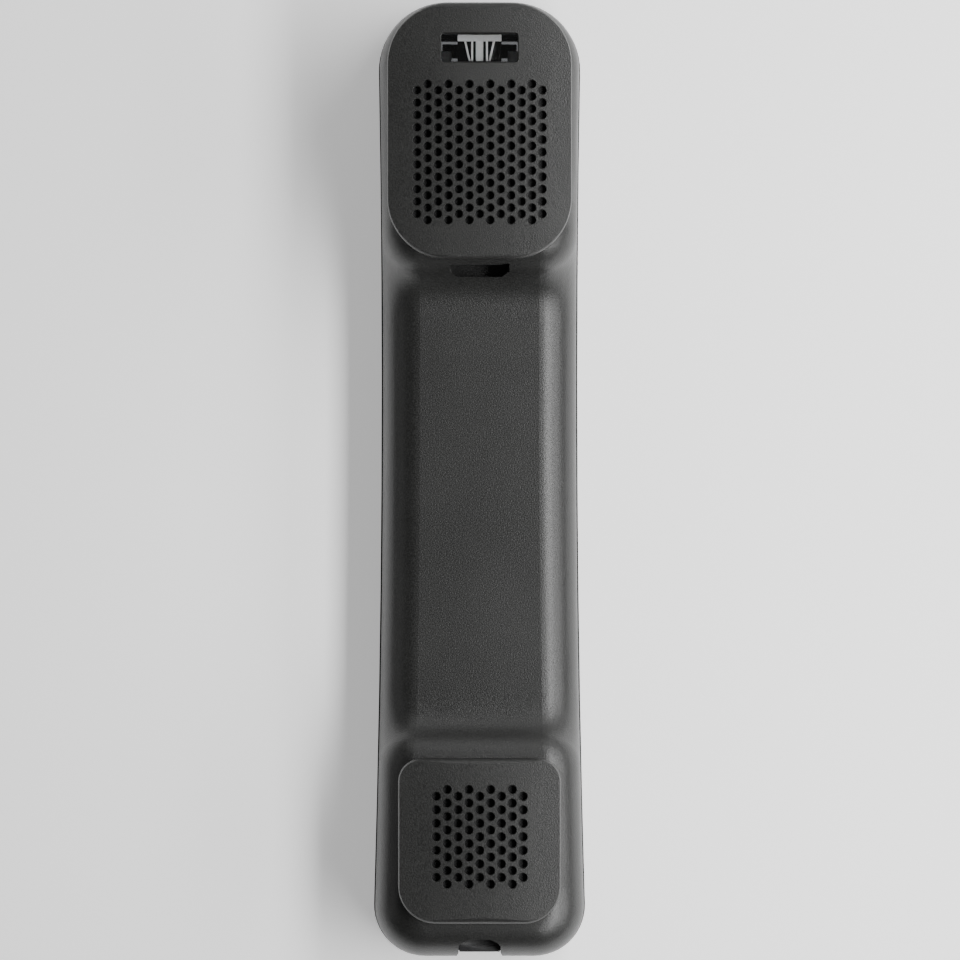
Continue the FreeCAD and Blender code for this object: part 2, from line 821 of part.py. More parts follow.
receiver_frame = frame_rib("receiver_frame", "ear_centre_y", "ear_cloth_half_x", "ear_cloth_half_y",
                           EAR_ROOF, "ear_rib_depth")
boot_frame = frame_rib("boot_frame", "mouth_centre_y", "mouth_cloth_half_x", "mouth_cloth_half_y",
                       MOUTH_ROOF, "mouth_rib_depth")
front_bosses = [boss(f"clamp_boss_{tag}", x, y, YOKE_BACK, f"{EAR_ROOF} + wall / 2")
                for tag, x, y in clamp_places()]
front_bosses += [boss(f"retainer_boss_{tag}", x, y, BOOT_BACK, f"{MOUTH_ROOF} + wall / 2")
                 for tag, x, y in retainer_places()]
front_pilots = [cylinder(f"clamp_pilot_{tag}", x, y, f"{YOKE_BACK} - past",
                         f"{YOKE_BACK} + screw_length + past", HOLLOW_SCREW)
                for tag, x, y in clamp_places()]
front_pilots += [cylinder(f"retainer_pilot_{tag}", x, y, f"{BOOT_BACK} - past",
                          f"{BOOT_BACK} + screw_length - pilot_spare * 2", HOLLOW_SCREW)
                 for tag, x, y in retainer_places()]
hook_cup = overlap("hook_cup", join("hook_cup_block", [
    hook_form("hook_mouth_block", "hook_wall", "hook_floor - hook_wall", "ear_face"),
    hook_pocket("hook_pocket_block", "hook_wall")]), front_skin)
notch_block = overlap("notch_block", box("notch_block_box", "-(notch_half + wall)", "notch_half + wall",
                                         "-length / 2", "-length / 2 + jack_end_gap + arch_depth + wall",
                                         f"{JACK_TOP} + fit", "ear_face"), front_skin)
snaps = [snap_post(*spot) for spot in SNAP_PLACES]
front_solid = join("front_solid", [front_walls, lip, receiver_frame, boot_frame, hook_cup, notch_block]
                   + front_bosses + snaps)

window_hole = plate("window_hole", "-window_length / 2", "window_length / 2",
                    "window_y - window_width / 2", "window_y + window_width / 2",
                    f"{EAR_ROOF} - past", "ear_face + past", "window_corner")
window_bevel = plate("window_bevel", "-window_length / 2", "window_length / 2",
                     "window_y - window_width / 2", "window_y + window_width / 2",
                     "ear_face - window_bevel", "ear_face + window_bevel", "window_corner")
window_bevel.Tip.TaperAngle = 45
ear_grid = hole_grid("ear_grid", 13, 12, "ear_pitch_x", "ear_pitch_y", "ear_hole", "ear_centre_y",
                     f"{EAR_ROOF} - past", "ear_face")
mouth_grid = hole_grid("mouth_grid", 9, 8, "mouth_pitch_x", "mouth_pitch_y", "mouth_hole",
                       "mouth_centre_y", f"{MOUTH_ROOF} - past", "mouth_face")
hook_room = join("hook_room", [hook_form("hook_mouth", "0", "hook_floor", "ear_face"),
                               hook_pocket("hook_pocket", "0")])
front_notch = remove("front_notch", notch("notch_form"),
                     [box("notch_floor", "-mouth_width", "mouth_width", "-length", "0", "-ear_face", "0")])
front_shell = node(remove("front_shell_cut", front_solid,
                          [window_hole, window_bevel, hook_room, front_notch, ear_grid, mouth_grid]
                          + front_pilots),
                   "front_shell")

# ---------------------------------------------------------------- rear shell
lens_y = ("window_y - lens_width / 2", "window_y + lens_width / 2")
lip_room = outline_plate("lip_room", "wall / 2 + shell_step - lip_clearance / 2",
                         "parting_height - lip_height", "parting_height + wall")
rear_walls = remove("rear_walls", rear_outer, [rear_inner])


def ballast_screw_places():
    for tag, centre in (("upper", "ballast_upper_y"), ("lower", "ballast_lower_y")):
        for end, sy in (("low", -1), ("high", 1)):
            yield f"{tag}_{end}", "0", f"{centre} + {sy} * ballast_screw_y"


def board_screw_places():
    for tag, sx in (("left", -1), ("right", 1)):
        for end, y in (("low", "board_low_y + board_screw_low"),
                       ("high", "board_high_y - board_screw_high")):
            yield f"{tag}_{end}", f"{sx} * (board_half - plate_margin)", y


BALLAST_BOSS_TOP = f"{BALLAST_TOP} - boss_set_down"
rear_bosses = [boss(f"ballast_boss_{tag}", x, y, "wall / 2", BALLAST_BOSS_TOP)
               for tag, x, y in ballast_screw_places()]
rear_bosses += [boss(f"board_boss_{tag}", x, y, "back_rise", BOARD_BACK)
                for tag, x, y in board_screw_places()]
rear_pilots = [cylinder(f"ballast_pilot_{tag}", x, y, f"{BALLAST_BOSS_TOP} - screw_length - pilot_spare",
                        f"{BALLAST_TOP} + past", HOLLOW_SCREW) for tag, x, y in ballast_screw_places()]
rear_pilots += [cylinder(f"board_pilot_{tag}", x, y, f"{BOARD_TOP} - short_screw - boss_set_down",
                         f"{BOARD_TOP} + past", HOLLOW_SCREW) for tag, x, y in board_screw_places()]
ribs = [box(f"rib_{tag}", "-ballast_half", "ballast_half", y, f"{y} + rib_thickness", "wall / 2",
            "wall * 2 + pad_thickness")
        for tag, y in (("ear", "ballast_upper_y + ballast_length / 2 + rib_gap"),
                       ("middle", "(ballast_upper_y + ballast_lower_y - rib_thickness) / 2"),
                       ("mouth", "ballast_lower_y - ballast_length / 2 - rib_gap - rib_thickness"))]
lens_slot = box("lens_slot", "-lens_length / 2", "lens_length / 2", *lens_y, "-past", "parting_height")
jack_opening = box("jack_opening", "-notch_half", "notch_half", "-length / 2 - past",
                   "-length / 2 + wall + past", "jack_floor", "parting_height + wall")
rear_furniture = overlap("rear_inside", join("rear_furniture", rear_bosses + ribs), rear_outer)
rear_solid = join("rear_solid", [rear_walls, rear_furniture])
rear_shell = node(remove("rear_shell_cut", rear_solid,
                         [lip_room, lens_slot, jack_opening, end_groove("rear_groove")] + rear_pilots),
                  "rear_shell")

# ---------------------------------------------------------------- lamp window, light guide, lamp lens
WINDOW_TOP = "ear_face - window_set_back"
WINDOW_BACK = f"{WINDOW_TOP} - window_thickness - wall / 2"
window_plate = plate("window_plate", "-window_length / 2 + fit", "window_length / 2 - fit",
                     "window_low_y + fit", "window_high_y - fit", WINDOW_BACK, WINDOW_TOP,
                     "window_corner - fit / 2")
window_flange = plate("window_flange_plate", "-window_length / 2 - window_flange",
                      "window_length / 2 + window_flange", "window_low_y - window_flange",
                      "window_high_y + window_flange", WINDOW_BACK, EAR_ROOF, "window_flange")
node(join("window_join", [window_plate, window_flange]), "face_window")

LENS_STEP = "back_rise + wall"
LENS_TOP = f"{LENS_STEP} + lens_stand"
lens_low, lens_high = lens_y
lens_bar = box("lens_bar", "-lens_length / 2 + fit", "lens_length / 2 - fit", f"{lens_low} + fit",
               f"{lens_high} - fit", "-past", LENS_STEP)
lens_flange = box("lens_flange_box", "-lens_length / 2 - lens_flange", "lens_length / 2 + lens_flange",
                  f"{lens_low} - lens_flange", f"{lens_high} + lens_flange",
                  f"{LENS_TOP} - lens_flange_thickness", LENS_TOP)
node(join("lens_join", [overlap("lens_skin", lens_bar, rear_outer), lens_flange]), "lamp_lens")

GUIDE_TOP = f"{WINDOW_BACK} - guide_gap"
GUIDE_FLOOR = f"{GUIDE_TOP} - guide_relief"


def guide_rib(name, foot, head):
    """One thin rib of the light guide's fan, from its head under the bar to its foot."""
    body = new_body(name)
    sketch = new_sketch(body, name + "_plan", "XY_Plane", GUIDE_FLOOR)
    low, high = number("window_low_y + fit"), number("window_y + guide_bar_low + fit")
    thick = number("guide_rib")
    points = [(foot, low), (foot + thick, low), (head + thick, high), (head, high)]
    close_loop(sketch, [line(points[n], points[(n + 1) % len(points)]) for n in range(len(points))])
    pad(body, name + "_pad", sketch, f"{GUIDE_TOP} - guide_gap - ({GUIDE_FLOOR})")
    return body


guide = [
    box("guide_bar", "-guide_bar_half", "guide_bar_half", "window_y + guide_bar_low",
        "window_high_y - fit", f"{GUIDE_FLOOR} - fit", GUIDE_TOP),
    box("guide_column", "-guide_column_half", "guide_column_half", "window_low_y + fit",
        "window_y + guide_bar_low + fit", f"{GUIDE_FLOOR} - fit", GUIDE_TOP),
    box("guide_floor_plate", "-guide_bar_half", "guide_bar_half", "window_low_y + fit",
        "window_high_y - fit", f"{GUIDE_FLOOR} - guide_floor", f"{GUIDE_FLOOR} + fit"),
    box("guide_stem", "-guide_stem_half", "guide_stem_half", "window_y - guide_stem_width / 2",
        "window_y + guide_stem_width / 2", LENS_TOP, f"{GUIDE_FLOOR} - fit"),
    box("guide_foot_plate", "-lens_length / 2 + lens_flange", "lens_length / 2 - lens_flange",
        "window_y - guide_stem_width / 2", "window_y + guide_stem_width / 2", LENS_TOP,
        f"{LENS_TOP} + guide_foot"),
]
for side, sign in (("left", -1), ("right", 1)):
    shift = number("guide_rib") if sign < 0 else 0
    for rib_name, foot, head in (("upright", "guide_upright_x", "guide_upright_x"),
                                 ("raking", "guide_raking_foot", "guide_raking_head")):
        guide.append(guide_rib(f"guide_{rib_name}_{side}", sign * number(foot) - shift,
                               sign * number(head) - shift))
node(join("guide_join", guide), "light_guide")

# ---------------------------------------------------------------- receiver
node(centred_plate("ear_cloth_plate", "ear_centre_y", "ear_cloth_half_x", "ear_cloth_half_y", "0",
                   f"{EAR_ROOF} - cloth_thickness", EAR_ROOF, "cloth_corner"), "ear_cloth")
gasket_pad = centred_plate("gasket_pad", "ear_centre_y", "ear_cloth_half_x", "ear_cloth_half_y", "0",
                           CAP_TOP, GASKET_TOP, "cloth_corner")
gasket_hole = cylinder("gasket_hole", "0", "ear_centre_y", f"{CAP_TOP} - past", f"{GASKET_TOP} + past",
                       "receiver_diameter / 2 - gasket_cover")
node(remove("gasket_cut", gasket_pad, [gasket_hole]), "receiver_gasket")


def on_circle(radius, turn, count):
    """The X and Y of one of several places spread evenly round the receiver's middle."""
    bearing = 2 * math.pi * turn / count
    return (f"{radius} * {math.cos(bearing):.6f}", f"ear_centre_y + {radius} * {math.sin(bearing):.6f}")


grille_disc = cylinder("grille_disc", "0", "ear_centre_y", BASKET_TOP, CAP_TOP, "receiver_diameter / 2")
grille_places = [("0", "ear_centre_y")]
grille_places += [on_circle("grille_inner_circle", turn, 6) for turn in range(6)]
grille_places += [on_circle("grille_outer_circle", turn, 12) for turn in range(12)]
grille_holes = [cylinder(f"grille_hole_{index}", x, y, f"{BASKET_TOP} - past", f"{CAP_TOP} + past",
                         "grille_hole / 2") for index, (x, y) in enumerate(grille_places)]
node(remove("grille_cut", grille_disc, grille_holes), "receiver_grille")

basket_solid = cylinder("basket_solid", "0", "ear_centre_y", BASKET_FLOOR, BASKET_TOP,
                        "receiver_diameter / 2")
basket_room = cylinder("basket_room", "0", "ear_centre_y", f"{BASKET_FLOOR} + receiver_wall",
                       f"{BASKET_TOP} + past", "receiver_diameter / 2 - receiver_wall")
basket_hole = cylinder("basket_hole", "0", "ear_centre_y", f"{BASKET_FLOOR} - past",
                       f"{BASKET_FLOOR} + receiver_wall + past", "yoke_diameter / 2 + thread_clearance")
LEDGE_TOP = f"{BASKET_FLOOR} + ledge_rise"
basket_ledge = ring("basket_ledge", "0", "ear_centre_y", f"{BASKET_FLOOR} + receiver_wall", LEDGE_TOP,
                    "receiver_diameter / 2 - receiver_wall / 2", "diaphragm_diameter / 2 + ledge_cover")
node(join("basket_join", [remove("basket_cut", basket_solid, [basket_room, basket_hole]),
                          basket_ledge]), "receiver_basket")

yoke_solid = cylinder("yoke_solid", "0", "ear_centre_y", YOKE_BACK, YOKE_TOP, "yoke_diameter / 2")
yoke_room = cylinder("yoke_room", "0", "ear_centre_y", f"{YOKE_BACK} + yoke_wall", f"{YOKE_TOP} + past",
                     "yoke_diameter / 2 - yoke_wall")
node(remove("yoke_cut", yoke_solid, [yoke_room]), "receiver_yoke")
MAGNET_TOP = f"{YOKE_BACK} + yoke_wall + magnet_thickness"
node(cylinder("magnet_disc", "0", "ear_centre_y", f"{YOKE_BACK} + yoke_wall", MAGNET_TOP,
              "magnet_diameter / 2"), "receiver_magnet")
node(cylinder("pole_disc", "0", "ear_centre_y", MAGNET_TOP, f"{MAGNET_TOP} + pole_thickness",
              "magnet_diameter / 2"), "receiver_pole_plate")
node(ring("surround_plate", "0", "ear_centre_y", LEDGE_TOP, f"{LEDGE_TOP} + diaphragm_film",
          "receiver_diameter / 2 - receiver_wall - fit", "diaphragm_diameter / 2 + diaphragm_gap"),
     "receiver_surround")
COIL_LOW = f"{LEDGE_TOP} + diaphragm_film - coil_length"
node(ring("coil", "0", "ear_centre_y", COIL_LOW, LEDGE_TOP, "coil_outer / 2", "coil_inner / 2"),
     "receiver_voice_coil")


def diaphragm(name):
    """A turned film: a flat rim and a central dome."""
    body = new_body(name)
    sketch = new_sketch(body, name + "_section", "XZ_Plane", "-ear_centre_y")
    film = number("diaphragm_film")
    rim, neck = number("diaphragm_diameter / 2"), number("coil_outer / 2")
    low = number(LEDGE_TOP)
    rise = number("dome_rise")
    ball = (neck ** 2 + rise ** 2) / (2 * rise)
    lean = math.degrees(math.asin(neck / ball))
    top_low, hub = low + film, (0, low + film + rise - ball)
    close_loop(sketch, [
        line((0, low + rise), (0, low + film + rise)),
        arc(hub, ball, 90 - lean, 90, False),
        line((neck, top_low), (rim, top_low)),
        line((rim, top_low), (rim, low)),
        line((rim, low), (neck, low)),
        arc((0, low + rise - ball), ball, 90 - lean, 90),
    ])
    turned = body.newObject("PartDesign::Revolution", name + "_turned")
    turned.Profile = sketch
    turned.ReferenceAxis = (sketch, ["V_Axis"])
    turned.Angle = 360
    return body


node(diaphragm("diaphragm_body"), "receiver_diaphragm")
node(box("terminal_strip", "-terminal_half", "terminal_half", "ear_centre_y - receiver_diameter / 2",
         "ear_centre_y - yoke_diameter / 2 - terminal_gap", f"{BASKET_FLOOR} - terminal_thickness",
         BASKET_FLOOR), "receiver_terminals")

clamp_plate = plate("clamp_plate", "-clamp_boss_x - plate_margin", "clamp_boss_x + plate_margin",
                    "ear_centre_y - clamp_boss_y - plate_margin",
                    "ear_centre_y + clamp_boss_y + plate_margin", CLAMP_BACK, YOKE_BACK, "plate_margin")
clamp_levels = (f"{CLAMP_BACK} - past", f"{YOKE_BACK} + past")
clamp_cuts = [
    box("clamp_lead_slot", "-clamp_slot_half", "clamp_slot_half",
        "ear_centre_y - clamp_boss_y - plate_margin - past",
        "ear_centre_y - yoke_diameter / 2 - clamp_slot_gap", *clamp_levels),
    box("clamp_guide_slot", "-clamp_slot_half", "clamp_slot_half",
        "ear_centre_y + yoke_diameter / 2 + clamp_slot_gap",
        "ear_centre_y + clamp_boss_y + plate_margin + past", *clamp_levels),
    cylinder("clamp_middle", "0", "ear_centre_y", *clamp_levels,
             "yoke_diameter / 2 - clamp_window_margin"),
]
clamp_cuts += [cylinder(f"clamp_hole_{tag}", x, y, *clamp_levels, "screw_radius + fit")
               for tag, x, y in clamp_places()]
node(remove("clamp_cut", clamp_plate, clamp_cuts), "receiver_clamp")


def screw(name, x, y, seat, way, shank_length="screw_length"):
    """A pan-head screw on its seat; way is +1 where the thread runs up and -1 where it runs down."""
    def levels(first, second):
        ends = [f"({seat}) + {way} * ({first})", f"({seat}) + {way} * ({second})"]
        return ends if way > 0 else ends[::-1]

    head = cylinder(name + "_head", x, y, *levels("-screw_head_height", "0"), "screw_head_radius")
    shank = cylinder(name + "_shank", x, y, *levels("0", shank_length), "screw_radius")
    drive = box(name + "_drive", f"({x}) - drive_half", f"({x}) + drive_half", f"({y}) - drive_width / 2",
                f"({y}) + drive_width / 2",
                *levels("-screw_head_height - past", "drive_depth - screw_head_height"))
    return remove(name, join(name + "_body", [head, shank]), [drive])


def grouped(name, pieces):
    """Identical small pieces share one node as separate solids."""
    item = doc.addObject("Part::Compound", name + "_set")
    item.Links = pieces
    return node(item, name)


grouped("clamp_screws", [screw(f"clamp_screw_{tag}", x, y, CLAMP_BACK, 1) for tag, x, y in clamp_places()])

# ---------------------------------------------------------------- microphone
node(centred_plate("mouth_cloth_plate", "mouth_centre_y", "mouth_cloth_half_x", "mouth_cloth_half_y",
                   "0", f"{MOUTH_ROOF} - cloth_thickness", MOUTH_ROOF, "cloth_corner"), "mouth_cloth")
MIC_LOW = f"{BOOT_BACK} + mic_board_thickness"
MIC_TOP = f"{MIC_LOW} + mic_height"
boot_body = cylinder("boot_body", "0", "mouth_centre_y", BOOT_BACK, BOOT_TOP, "boot_diameter / 2")
boot_flange = centred_plate("boot_flange_plate", "mouth_centre_y", "mouth_cloth_half_x",
                            "mouth_cloth_half_y", "0", f"{BOOT_TOP} - boot_flange", BOOT_TOP,
                            "cloth_corner")
boot_room = cylinder("boot_room", "0", "mouth_centre_y", f"{BOOT_BACK} - past", MIC_TOP,
                     "mic_diameter / 2 + thread_clearance")
boot_port = cylinder("boot_port_bore", "0", "mouth_centre_y", BOOT_BACK, f"{BOOT_TOP} + past", "boot_port")
node(remove("boot_cut", join("boot_solid", [boot_body, boot_flange]), [boot_room, boot_port]),
     "microphone_boot")
mic_can = cylinder("mic_can", "0", "mouth_centre_y", MIC_LOW, MIC_TOP, "mic_diameter / 2")
mic_ports = []
for turn in range(3):
    bearing = 2 * math.pi * turn / 3
    mic_ports.append(cylinder(f"mic_port_bore_{turn}", f"mic_port_circle * {math.cos(bearing):.6f}",
                              f"mouth_centre_y + mic_port_circle * {math.sin(bearing):.6f}",
                              f"{MIC_TOP} - mic_port_depth", f"{MIC_TOP} + past", "mic_port / 2"))
node(remove("mic_cut", mic_can, mic_ports), "microphone_capsule")
node(cylinder("mic_board_disc", "0", "mouth_centre_y", BOOT_BACK, MIC_LOW, "mic_diameter / 2 - fit"),
     "microphone_board")
retainer_plate = plate("retainer_plate", "-retainer_boss_x - plate_margin",
                       "retainer_boss_x + plate_margin", "mouth_centre_y - retainer_half",
                       "mouth_centre_y + retainer_half", RETAINER_BACK, BOOT_BACK, "retainer_corner")
retainer_levels = (f"{RETAINER_BACK} - past", f"{BOOT_BACK} + past")
retainer_cuts = [cylinder(f"retainer_hole_{tag}", x, y, *retainer_levels, "screw_radius + fit")
                 for tag, x, y in retainer_places()]
retainer_cuts.append(cylinder("retainer_port", "0", "mouth_centre_y", *retainer_levels,
                              "mic_diameter / 2 - retainer_ledge"))
node(remove("retainer_cut", retainer_plate, retainer_cuts), "microphone_retainer")
grouped("retainer_screws", [screw(f"retainer_screw_{tag}", x, y, RETAINER_BACK, 1)
                            for tag, x, y in retainer_places()])

# ---------------------------------------------------------------- ballast
pads = []
for tag, centre in (("upper", "ballast_upper_y"), ("lower", "ballast_lower_y")):
    low_y, high_y = f"{centre} - ballast_length / 2", f"{centre} + ballast_length / 2"
    bar = plate(f"ballast_bar_{tag}", "-ballast_half", "ballast_half", low_y, high_y, BALLAST_BACK,
                BALLAST_TOP, "ballast_corner")
    bores = [cylinder(f"ballast_bore_{name}", x, y, f"{BALLAST_BACK} - past", f"{BALLAST_TOP} + past",
                      "boss_radius + fit")
             for name, x, y in ballast_screw_places() if name.startswith(tag)]
    node(remove(f"ballast_cut_{tag}", bar, bores), f"ballast_{tag}")
    for side, sx in (("left", -1), ("right", 1)):
        edges = [f"{sx} * (boss_radius + pad_inset)", f"{sx} * (ballast_half - pad_inset)"]
        pads.append(plate(f"pad_{tag}_{side}", *edges[::sx], f"{low_y} + pad_inset",
                          f"{high_y} - pad_inset", "wall", BALLAST_BACK, "pad_corner"))
grouped("ballast_pads", pads)
WASHER_TOP = f"{BALLAST_TOP} + washer_thickness"
grouped("ballast_washers", [ring(f"washer_{tag}", x, y, BALLAST_TOP, WASHER_TOP,
                                 "boss_radius + washer_width", "screw_radius + fit")
                            for tag, x, y in ballast_screw_places()])
grouped("ballast_screws", [screw(f"ballast_screw_{tag}", x, y, WASHER_TOP, -1)
                           for tag, x, y in ballast_screw_places()])

# ---------------------------------------------------------------- cord socket and its board
jack_front = box("jack_front", "-notch_half + fit", "notch_half - fit", "jack_face_y",
                 "jack_shoulder_y + past", "jack_floor + fit", JACK_TOP)
jack_body = box("jack_body", "-jack_half", "jack_half", "jack_shoulder_y", "jack_back_y", "jack_floor",
                JACK_TOP)
PLUG_TOP = "plug_low + plug_tall"
plug_reach = ("jack_face_y - past", "jack_back_y - jack_front_wall")
plug_room = box("plug_room", "-plug_half", "plug_half", *plug_reach, "plug_low", PLUG_TOP)
key_room = box("key_room", "-key_half", "key_half", *plug_reach, f"{PLUG_TOP} - past",
               f"{PLUG_TOP} + key_tall")
latch_window = box("latch_window_room", "-plug_half", "plug_half", "jack_face_y + jack_front_wall",
                   "jack_face_y + arch_depth + latch_window", f"{PLUG_TOP} - past", f"{JACK_TOP} + past")


def pin_places():
    for index in range(4):
        yield index, f"({index} - 1.5) * contact_pitch"


PIN_BORE = "contact_radius + thread_clearance"
pin_bores = [cylinder(f"pin_bore_{index}", x, "pin_y", "jack_floor - past", "plug_low + past", PIN_BORE)
             for index, x in pin_places()]
node(remove("jack_cut", join("jack_solid", [jack_front, jack_body]),
            [plug_room, key_room, latch_window] + pin_bores), "jack_housing")

board = plate("board_plate", "-board_half", "board_half", "board_low_y", "board_high_y", BOARD_BACK,
              BOARD_TOP, "pad_corner")
board_levels = (f"{BOARD_BACK} - past", f"{BOARD_TOP} + past")
board_cuts = [cylinder(f"board_hole_{tag}", x, y, *board_levels, "screw_radius + fit")
              for tag, x, y in board_screw_places()]
board_cuts += [cylinder(f"board_bore_{index}", x, "pin_y", *board_levels, PIN_BORE)
               for index, x in pin_places()]
node(remove("board_cut", board, board_cuts), "jack_board")
grouped("jack_pins", [cylinder(f"pin_{index}", x, "pin_y", f"{BOARD_BACK} - pin_tail", "plug_low",
                               "contact_radius") for index, x in pin_places()])


def contact_wire(index, x):
    """One free contact spring, rising from the top of its pin towards the back of the socket."""
    wire = doc.addObject("Part::Cylinder", f"contact_wire_{index}")
    bind(wire, "Radius", "contact_radius")
    bind(wire, "Height", "contact_length")
    place(wire, x, "pin_y", "plug_low + contact_radius + contact_clearance")
    wire.Placement.Rotation = FreeCAD.Rotation(Vector(1, 0, 0), number("contact_angle") - 90)
    return wire


grouped("jack_contacts", [contact_wire(index, x) for index, x in pin_places()])
grouped("board_screws", [screw(f"board_screw_{tag}", x, y, BOARD_TOP, -1, "short_screw")
                         for tag, x, y in board_screw_places()])

# ---------------------------------------------------------------- connectors and leads
PLUG_LOW_Y = "jack_back_y + plug_gap"
PLUG_HIGH_Y = f"{PLUG_LOW_Y} + plug_depth"
HEADER_TOP = f"{BOARD_TOP} + plug_height"
LEAD_EXIT = f"{BOARD_TOP} + lead_lift"


def connector(name, x):
    """A two-way header with its crimp housing pushed in."""
    shroud = box(name + "_shroud", f"{x} - plug_width / 2", f"{x} + plug_width / 2", PLUG_LOW_Y,
                 PLUG_HIGH_Y, BOARD_TOP, HEADER_TOP)
    slot = box(name + "_slot", f"{x} - plug_slot_width / 2", f"{x} + plug_slot_width / 2",
               f"{PLUG_LOW_Y} - past", f"{PLUG_LOW_Y} + plug_slot_depth",
               f"{BOARD_TOP} + plug_slot_low", f"{HEADER_TOP} + past")
    return remove(name, shroud, [slot])


def lead(name, points):
    """A round lead: straight runs joined by tangent arcs as large as its runs allow."""
    vectors = [Vector(*(number(value) for value in point)) for point in points]
    share = 0.45
    edges = []
    start = vectors[0]
    for before, corner, after in zip(vectors, vectors[1:], vectors[2:]):
        first, second = (corner - before), (after - corner)
        half_turn = first.getAngle(second) / 2
        reach = share * min(first.Length, second.Length)
        bend = reach / math.tan(half_turn)
        enter = corner - first.normalize() * reach
        leave = corner + second.normalize() * reach
        inward = (enter + leave) / 2 - corner
        hub = corner + inward.normalize() * (bend / math.cos(half_turn))
        top = hub + (corner - hub).normalize() * bend
        edges.append(Part.LineSegment(start, enter).toShape())
        edges.append(Part.Arc(enter, top, leave).toShape())
        start = leave
    edges.append(Part.LineSegment(start, vectors[-1]).toShape())
    circle = Part.makeCircle(number("lead_diameter / 2"), vectors[0], vectors[1] - vectors[0])
    item = doc.addObject("Part::Feature", name + "_tube")
    item.Shape = Part.Wire(edges).makePipeShell([Part.Wire([circle])], True, False)
    return node(item, name)


RECEIVER_PLUG_X = "plug_place"
MIC_PLUG_X = "-plug_place"
node(connector("receiver_header", RECEIVER_PLUG_X), "receiver_connector")
node(connector("mic_header", MIC_PLUG_X), "microphone_connector")
SIDE_CHANNEL = "(ballast_half + lead_diameter * 2.5)"
CHANNEL_LEVEL = "wall + back_rise"
CHANNEL_END = "ballast_upper_y + ballast_length / 2 + plug_depth * 2"
TERMINAL_Y = "(ear_centre_y - receiver_diameter / 2 + lead_diameter * 2)"
SOLDER_LEVEL = f"{BASKET_FLOOR} - terminal_thickness"
for color, sign in (("red", 1), ("black", -1)):
    plug_x = f"{RECEIVER_PLUG_X} + {sign} * lead_half_pitch"
    channel_x = f"{SIDE_CHANNEL} + ({sign} - 1) * lead_half_pitch"
    bend_y = f"{PLUG_HIGH_Y} + plug_depth * 5.5 + (1 - {sign}) * lead_half_pitch"
    pad_x = f"{sign} * lead_half_pitch * 2.5"
    lead(f"receiver_lead_{color}", [
        (plug_x, PLUG_HIGH_Y, LEAD_EXIT),
        (plug_x, f"{PLUG_HIGH_Y} + plug_depth * 2", LEAD_EXIT),
        (channel_x, bend_y, CHANNEL_LEVEL),
        (channel_x, CHANNEL_END, CHANNEL_LEVEL),
        (pad_x, TERMINAL_Y, f"{BASKET_FLOOR} - boot_diameter"),
        (pad_x, TERMINAL_Y, SOLDER_LEVEL),
    ])
for color, sign in (("white", 1), ("green", -1)):
    plug_x = f"{MIC_PLUG_X} + {sign} * lead_half_pitch"
    pad_x, pad_y = f"{sign} * lead_diameter", "mouth_centre_y + lead_half_pitch"
    lead(f"microphone_lead_{color}", [
        (plug_x, PLUG_HIGH_Y, LEAD_EXIT),
        (plug_x, f"{PLUG_HIGH_Y} + plug_depth", LEAD_EXIT),
        (pad_x, pad_y, f"{BOOT_BACK} - boot_height"),
        (pad_x, pad_y, BOOT_BACK),
    ])

# ---------------------------------------------------------------- checks and files
doc.recompute()
for item in doc.Objects:
    if "Invalid" in item.State or "Error" in item.State:
        raise RuntimeError(f"{item.Name} did not build: {item.State}")
for item in nodes:
    if item.Shape.isNull() or not item.Shape.isValid():
        raise RuntimeError(f"{item.Label} has no valid shape")
os.makedirs("parts", exist_ok=True)
for item in nodes:
    item.Shape.exportStep(f"parts/{item.Label}.step")
    print(f"{item.Label:24s} {len(item.Shape.Solids):2d} solids {item.Shape.Volume:10.1f} mm3")
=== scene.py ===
import math

import bmesh
import bpy
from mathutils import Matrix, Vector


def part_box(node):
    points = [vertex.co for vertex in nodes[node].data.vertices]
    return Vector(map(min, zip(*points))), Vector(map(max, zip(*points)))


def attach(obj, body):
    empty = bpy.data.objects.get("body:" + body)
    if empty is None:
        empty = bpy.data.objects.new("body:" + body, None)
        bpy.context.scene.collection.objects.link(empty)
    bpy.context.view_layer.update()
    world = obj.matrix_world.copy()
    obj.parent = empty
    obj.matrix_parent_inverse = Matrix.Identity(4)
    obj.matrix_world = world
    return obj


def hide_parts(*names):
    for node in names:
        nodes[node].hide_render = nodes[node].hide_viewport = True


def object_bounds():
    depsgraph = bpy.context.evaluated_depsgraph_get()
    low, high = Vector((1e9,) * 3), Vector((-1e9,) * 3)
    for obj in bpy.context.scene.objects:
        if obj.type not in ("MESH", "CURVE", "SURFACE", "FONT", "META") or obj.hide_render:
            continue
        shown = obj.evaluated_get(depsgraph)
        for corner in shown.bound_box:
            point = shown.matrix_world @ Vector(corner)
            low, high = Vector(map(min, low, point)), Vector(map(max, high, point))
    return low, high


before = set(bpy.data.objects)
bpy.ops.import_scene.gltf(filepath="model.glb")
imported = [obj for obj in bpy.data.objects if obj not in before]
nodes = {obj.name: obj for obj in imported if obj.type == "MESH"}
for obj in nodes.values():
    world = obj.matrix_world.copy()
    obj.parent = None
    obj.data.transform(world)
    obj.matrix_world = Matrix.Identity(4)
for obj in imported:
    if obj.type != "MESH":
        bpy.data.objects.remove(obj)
cad_low, cad_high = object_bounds()
bpy.ops.object.select_all(action="DESELECT")

# ---------------------------------------------------------------- floor, light and camera
# A pale table top under soft studio light: two long soft boxes on the handset's right, the second lower, a
# weaker one on its left, and a slanted one past its far end that lights the table but not its flat top.
span = cad_high.y - cad_low.y

bpy.ops.mesh.primitive_plane_add(size=100 * span, location=(0, 0, cad_low.z))
table_top = bpy.context.object
table_top.name = "table_top"

